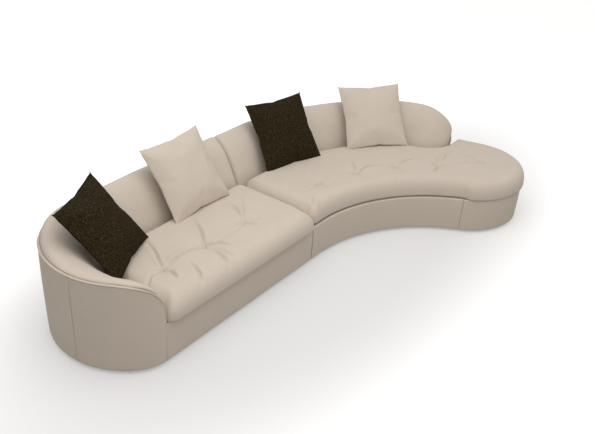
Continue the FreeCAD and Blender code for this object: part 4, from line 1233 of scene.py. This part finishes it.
def inflate(piece, pressure):
    """Fills a closed cloth with air for a few frames and keeps the result as its mesh."""
    cloth = piece.modifiers.new("filling", "CLOTH")
    settings = cloth.settings
    settings.use_pressure = True
    settings.uniform_pressure_force = pressure
    settings.quality = 6
    settings.mass = CLOTH_MASS
    settings.tension_stiffness = CLOTH_STIFFNESS
    settings.compression_stiffness = CLOTH_STIFFNESS
    settings.shear_stiffness = CLOTH_STIFFNESS * 0.6
    settings.bending_stiffness = 0.6
    settings.tension_damping = 8.0
    settings.air_damping = 4.0
    settings.effector_weights.gravity = 0.0
    cloth.collision_settings.use_collision = False
    cloth.point_cache.frame_start = 1
    cloth.point_cache.frame_end = FILLING_FRAMES
    scene = bpy.context.scene
    for moment in range(1, FILLING_FRAMES + 1):
        scene.frame_set(moment)
    shape = piece.evaluated_get(bpy.context.evaluated_depsgraph_get())
    filled = bpy.data.meshes.new_from_object(shape)
    piece.modifiers.remove(cloth)
    piece.data = filled
    scene.frame_set(1)


def mesh_points(mesh):
    points = np.empty(len(mesh.vertices) * 3)
    mesh.vertices.foreach_get("co", points)
    return points.reshape(-1, 3)


def fit_pillow(piece, flat, side, thickness, seed):
    """Brings the filled pillow back to its size, with soft waves and short pulls along its seam.

    The insert keeps the sides out, so the plan lies between the sewn square and the filled cloth.
    """
    points = mesh_points(piece.data)
    points[:, :2] = flat[:, :2] + (points[:, :2] - flat[:, :2]) * CLOTH_DRAW_IN
    middle = (points.max(axis=0) + points.min(axis=0)) / 2
    points = points - middle
    extent = points.max(axis=0) - points.min(axis=0)
    points[:, :2] *= side / extent[:2]
    points[:, 2] *= min(1.0, thickness / extent[2])
    u, v = points[:, 0] * 2 / side, points[:, 1] * 2 / side
    near = np.clip(np.maximum(np.abs(u), np.abs(v)), 0.0, 1.0)
    face = np.sign(points[:, 2]) * np.clip(np.abs(points[:, 2]) / FACE_RUN, 0.0, 1.0)
    pulls = np.where(np.abs(u) > np.abs(v), points[:, 1], points[:, 0])
    beside = np.exp(-(((near - SEAM_PULL_PLACE) / SEAM_PULL_REACH) ** 2))
    pull = SEAM_PULL[0] * (ripple(pulls[:, None], seed + 20, SEAM_PULL[1]) * beside)
    wave = PILLOW_WAVE[0] * ripple(points, seed + 30, PILLOW_WAVE[1])
    points[:, 2] += face * (wave + pull)
    piece.data.vertices.foreach_set("co", points.ravel())
    piece.data.polygons.foreach_set("use_smooth", [True] * len(piece.data.polygons))
    piece.data.update()


def place_pillow(piece, line, place):
    """Turns a pillow's own directions to its place beside the back and moves it there."""
    run, inset, rise, across, up = place
    outer, heading = along(line, np.array([run / total(line)]))
    ahead, inwards = direction(heading[0]), right_hand(heading[0])
    ways = np.array([[*ahead, 0.0], [*inwards, 0.0], [0.0, 0.0, 1.0]])
    middle = np.append(outer[0] + inwards * inset, SEAT_CROWN + rise)
    across = Vector(np.array(across) @ ways).normalized()
    up = Vector(np.array(up) @ ways)
    up = (up - across * up.dot(across)).normalized()
    normal = across.cross(up)
    turn = Matrix((across, up, normal)).transposed().to_4x4()
    piece.data.transform(Matrix.Translation(Vector(middle) + Vector(ORIGIN)) @ turn)


def looped_yarn(colours):
    """The dark pillows' material, with hardly any shine."""
    values = {"Dark": (*colours.yarn, 1.0), "Fleck": (*colours.fleck, 1.0), "Loop scale": 150.0}
    yarn = surface("looped dark yarn", get_group("looped yarn", yarn_group), values, 0.8, 0.003)
    yarn.node_tree.nodes["Principled BSDF"].inputs["Specular IOR Level"].default_value = 0.05
    return yarn


class SOFA_OT_pillows(bpy.types.Operator):
    """Fills the four loose pillows as cloth and leans them on the back"""

    bl_idname = "sofa.pillows"
    bl_label = "Pillows"

    def execute(self, context):
        sizes = context.scene.sofa_sizes
        side, thickness = sizes.pillow_side, sizes.pillow_thickness
        yarn = looped_yarn(context.scene.sofa_colours)
        pale = weave("pale pillow cloth", context.scene.sofa_colours.seat)
        for seed, (name, place) in enumerate(PILLOWS.items()):
            piece = pillow_shape(name + "_cloth", side, thickness * FIRST_FULL)
            flat = mesh_points(piece.data)
            inflate(piece, sizes.pillow_air * (1.0 + FILLING_STEP * seed))
            fit_pillow(piece, flat, side, thickness, seed)
            place_pillow(piece, LEFT_SHELL if name.startswith("left") else RIGHT_BACK, place)
            smooth = piece.modifiers.new("smooth", "SUBSURF")
            smooth.levels = smooth.render_levels = 1
            dark = "dark" in name
            nodes = [name + "_cover", name + "_insert", name + "_zip"]
            finish_piece(piece, name, yarn if dark else pale, nodes)
        return {"FINISHED"}


# Hidden frame, deck, feet and fasteners: the CAD's own pieces with finishes


class SOFA_OT_frame(bpy.types.Operator):
    """Gives the timber frame, webbing, deck, feet and fasteners their finishes"""

    bl_idname = "sofa.frame"
    bl_label = "Frame and feet"

    def execute(self, context):
        shell = context.scene.sofa_colours.shell
        finishes = {
            "timber": surface("sawn pine", get_group("sawn timber", timber_group), {}, 0.2, 0.0004),
            "webbing": weave("elastic webbing", (0.05, 0.05, 0.05), 500.0, 0.1, 0.4, 0.6, 0.001, 0.0),
            "deck_felt": weave("deck felt", (0.3, 0.29, 0.27), 400.0, 0.2, 0.5, 0.6, 0.001, 0.1),
            "lining": weave("black lining", (0.02, 0.02, 0.02), 600.0, 0.1, 0.4, 0.4, 0.0005, 0.0),
            "foot_plastic": plain("black foot", (0.015, 0.015, 0.015), 500.0, 0.2, 0.4),
            "felt": weave("glide felt", (0.2, 0.16, 0.13), 500.0, 0.2, 0.5, 0.6, 0.001, 0.0),
            "steel": plain("zinc steel", (0.6, 0.6, 0.58), 300.0, 0.1, 0.3, 0.1, 1.0),
            "zip_tape": weave("zip tape", shell, 1500.0, 0.05, 0.2),
            "foam": plain("seat foam", (0.7, 0.62, 0.42), 700.0, 0.15, 0.8, 0.5),
            "filling": plain("pillow filling", (0.8, 0.8, 0.78), 300.0, 0.1, 0.85, 0.4),
            "seat_fabric": seat_cloth(),
            "shell_fabric": shell_cloth(),
            "piping_fabric": shell_cloth(),
            "pale_pillow_fabric": seat_cloth(),
            "dark_pillow_fabric": shell_cloth(),
        }
        slots = {part["node"]: part["material_slot"] for part in frame["record"]["subparts"]}
        for name, node in frame["nodes"].items():
            material = finishes[slots[name]]
            if node.data.materials:
                for place in range(len(node.data.materials)):
                    node.data.materials[place] = material
            else:
                node.data.materials.append(material)
        return {"FINISHED"}


# Stage


def set_camera(scene, lens):
    camera = bpy.data.objects.new("camera", bpy.data.cameras.new("camera"))
    scene.collection.objects.link(camera)
    camera.data.sensor_width = 36.0
    camera.data.lens = lens
    camera.data.clip_end = 60.0
    forward = Vector(CAMERA_FORWARD).normalized()
    right = Vector(CAMERA_RIGHT)
    right = (right - forward * right.dot(forward)).normalized()
    turn = Matrix((right, right.cross(forward), -forward)).transposed()
    place = Vector(CAMERA_PLACE) + Vector(ORIGIN)
    camera.matrix_world = Matrix.Translation(place) @ turn.to_4x4()
    scene.camera = camera


def floor_surface(colour):
    """A floor that the camera sees with a painted shadow, a soft grey round the sofa, and white further
    off.

    The light that it throws back comes from the grey alone, and its glow is for the camera alone.
    """
    material = bpy.data.materials.new("pale floor")
    material.use_nodes = True
    tree = material.node_tree
    shader = tree.nodes["Principled BSDF"]
    shader.inputs["Roughness"].default_value = 0.9
    shader.inputs["Specular IOR Level"].default_value = 0.0
    shader.inputs["Emission Color"].default_value = (1.0, 1.0, 1.0, 1.0)
    seen = tree.nodes.new("ShaderNodeLightPath").outputs["Is Camera Ray"]
    # Painted shadow: a stretched distance from the sofa that fades the floor's grey into white
    links = [(0, object_points(tree))]
    flat = put_node(tree, "ShaderNodeVectorMath", links, operation="MULTIPLY")
    flat.inputs[1].default_value = PAINTED_SHADOW_STRETCH
    links = [(0, flat.outputs[0])]
    far = put_node(tree, "ShaderNodeVectorMath", links, operation="LENGTH")
    values = {"From_Min": PAINTED_SHADOW_FADE[0], "From_Max": PAINTED_SHADOW_FADE[1], "interpolation_type": "SMOOTHSTEP"}
    away = put_node(tree, "ShaderNodeMapRange", [("Value", far.outputs["Value"])], **values)
    # The camera sees the painted shadow grey near the sofa, passing into the pale floor colour further
    # off; other rays get the plain grey
    shown = mix_colours(tree, away.outputs["Result"], FLOOR_GREY_AND_PAINTED_SHADOW, (*colour, 1.0))
    tree.links.new(mix_colours(tree, seen, FLOOR_GREY_AND_PAINTED_SHADOW, shown), shader.inputs["Base Color"])
    tree.links.new(maths(tree, "MULTIPLY", seen, FLOOR_GLOW), shader.inputs["Emission Strength"])
    return material


def light_world(scene, strength):
    """An even warm sky that lights the sofa, and plain white where it is seen itself."""
    world = bpy.data.worlds.new("studio")
    scene.world = world
    world.use_nodes = True
    tree = world.node_tree
    tree.nodes.clear()
    path = tree.nodes.new("ShaderNodeLightPath")
    sky = put_node(tree, "ShaderNodeBackground", Strength=strength)
    seen = put_node(tree, "ShaderNodeBackground", Strength=1.0)
    sky.inputs["Color"].default_value = (1.0, 0.99, 0.975, 1.0)
    seen.inputs["Color"].default_value = (1.0, 1.0, 1.0, 1.0)
    shown = maths(tree, "MAXIMUM", path.outputs["Is Camera Ray"], path.outputs["Is Glossy Ray"])
    shown = maths(tree, "MAXIMUM", shown, path.outputs["Is Transmission Ray"])
    links = [(0, shown), (1, sky.outputs[0]), (2, seen.outputs[0])]
    mix = put_node(tree, "ShaderNodeMixShader", links)
    put_node(tree, "ShaderNodeOutputWorld", [("Surface", mix.outputs[0])])


def hang_lamp(scene, power):
    lamp = bpy.data.lights.new("overhead", "AREA")
    lamp.shape = "RECTANGLE"
    lamp.size, lamp.size_y = LAMP_SIZE
    lamp.energy = power
    lamp.color = (1.0, 0.985, 0.96)
    overhead = bpy.data.objects.new("overhead", lamp)
    scene.collection.objects.link(overhead)
    spot = Vector(LAMP_PLACE)
    turn = (Vector(LAMP_AIM) - spot).normalized().to_track_quat("-Z", "Y").to_matrix()
    overhead.matrix_world = Matrix.Translation(spot) @ turn.to_4x4()


class SOFA_OT_stage(bpy.types.Operator):
    """Sets the camera of the photograph, the pale floor and the soft studio light"""

    bl_idname = "sofa.stage"
    bl_label = "Stage"

    def execute(self, context):
        scene = context.scene
        set_camera(scene, scene.sofa_stage.lens)
        corners = [(-1, -1, 0), (1, -1, 0), (1, 1, 0), (-1, 1, 0)]
        floor = make_object("floor", np.array(corners) * FLOOR_HALF, [[0, 1, 2, 3]])
        floor.data.materials.append(floor_surface(scene.sofa_colours.floor))
        light_world(scene, scene.sofa_stage.sky)
        hang_lamp(scene, scene.sofa_stage.lamp)
        scene.view_settings.view_transform = "Standard"
        return {"FINISHED"}


class SOFA_PT_parts(bpy.types.Panel):
    """Lists the sofa's pieces and its settings"""

    bl_label = "Sofa"
    bl_idname = "SOFA_PT_parts"
    bl_space_type = "VIEW_3D"
    bl_region_type = "UI"
    bl_category = "Sofa"

    def draw(self, context):
        column = self.layout.column()
        for operator in OPERATORS:
            column.operator(operator.bl_idname)
        scene = context.scene
        for settings in (scene.sofa_sizes, scene.sofa_colours, scene.sofa_stage):
            for name in settings.bl_rna.properties.keys():
                if name not in ("rna_type", "name"):
                    column.prop(settings, name)


OPERATORS = (
    SOFA_OT_stage,
    SOFA_OT_frame,
    SOFA_OT_outer_panels,
    SOFA_OT_base_panels,
    SOFA_OT_piping,
    SOFA_OT_back_pads,
    SOFA_OT_seat_cushions,
    SOFA_OT_pillows,
)
SETTINGS = (SofaColours, SofaSizes, SofaStage)


def register():
    for kind in SETTINGS + OPERATORS + (SOFA_PT_parts,):
        bpy.utils.register_class(kind)
    bpy.types.Scene.sofa_colours = PointerProperty(type=SofaColours)
    bpy.types.Scene.sofa_sizes = PointerProperty(type=SofaSizes)
    bpy.types.Scene.sofa_stage = PointerProperty(type=SofaStage)


def unregister():
    del bpy.types.Scene.sofa_colours
    del bpy.types.Scene.sofa_sizes
    del bpy.types.Scene.sofa_stage
    for kind in reversed(SETTINGS + OPERATORS + (SOFA_PT_parts,)):
        bpy.utils.unregister_class(kind)


def main():
    register()
    bpy.ops.sofa.stage()
    bpy.ops.sofa.frame()
    bpy.ops.sofa.outer_panels()
    bpy.ops.sofa.base_panels()
    bpy.ops.sofa.piping()
    bpy.ops.sofa.back_pads()
    bpy.ops.sofa.seat_cushions()
    bpy.ops.sofa.pillows()


if __name__ == "__main__":
    main()
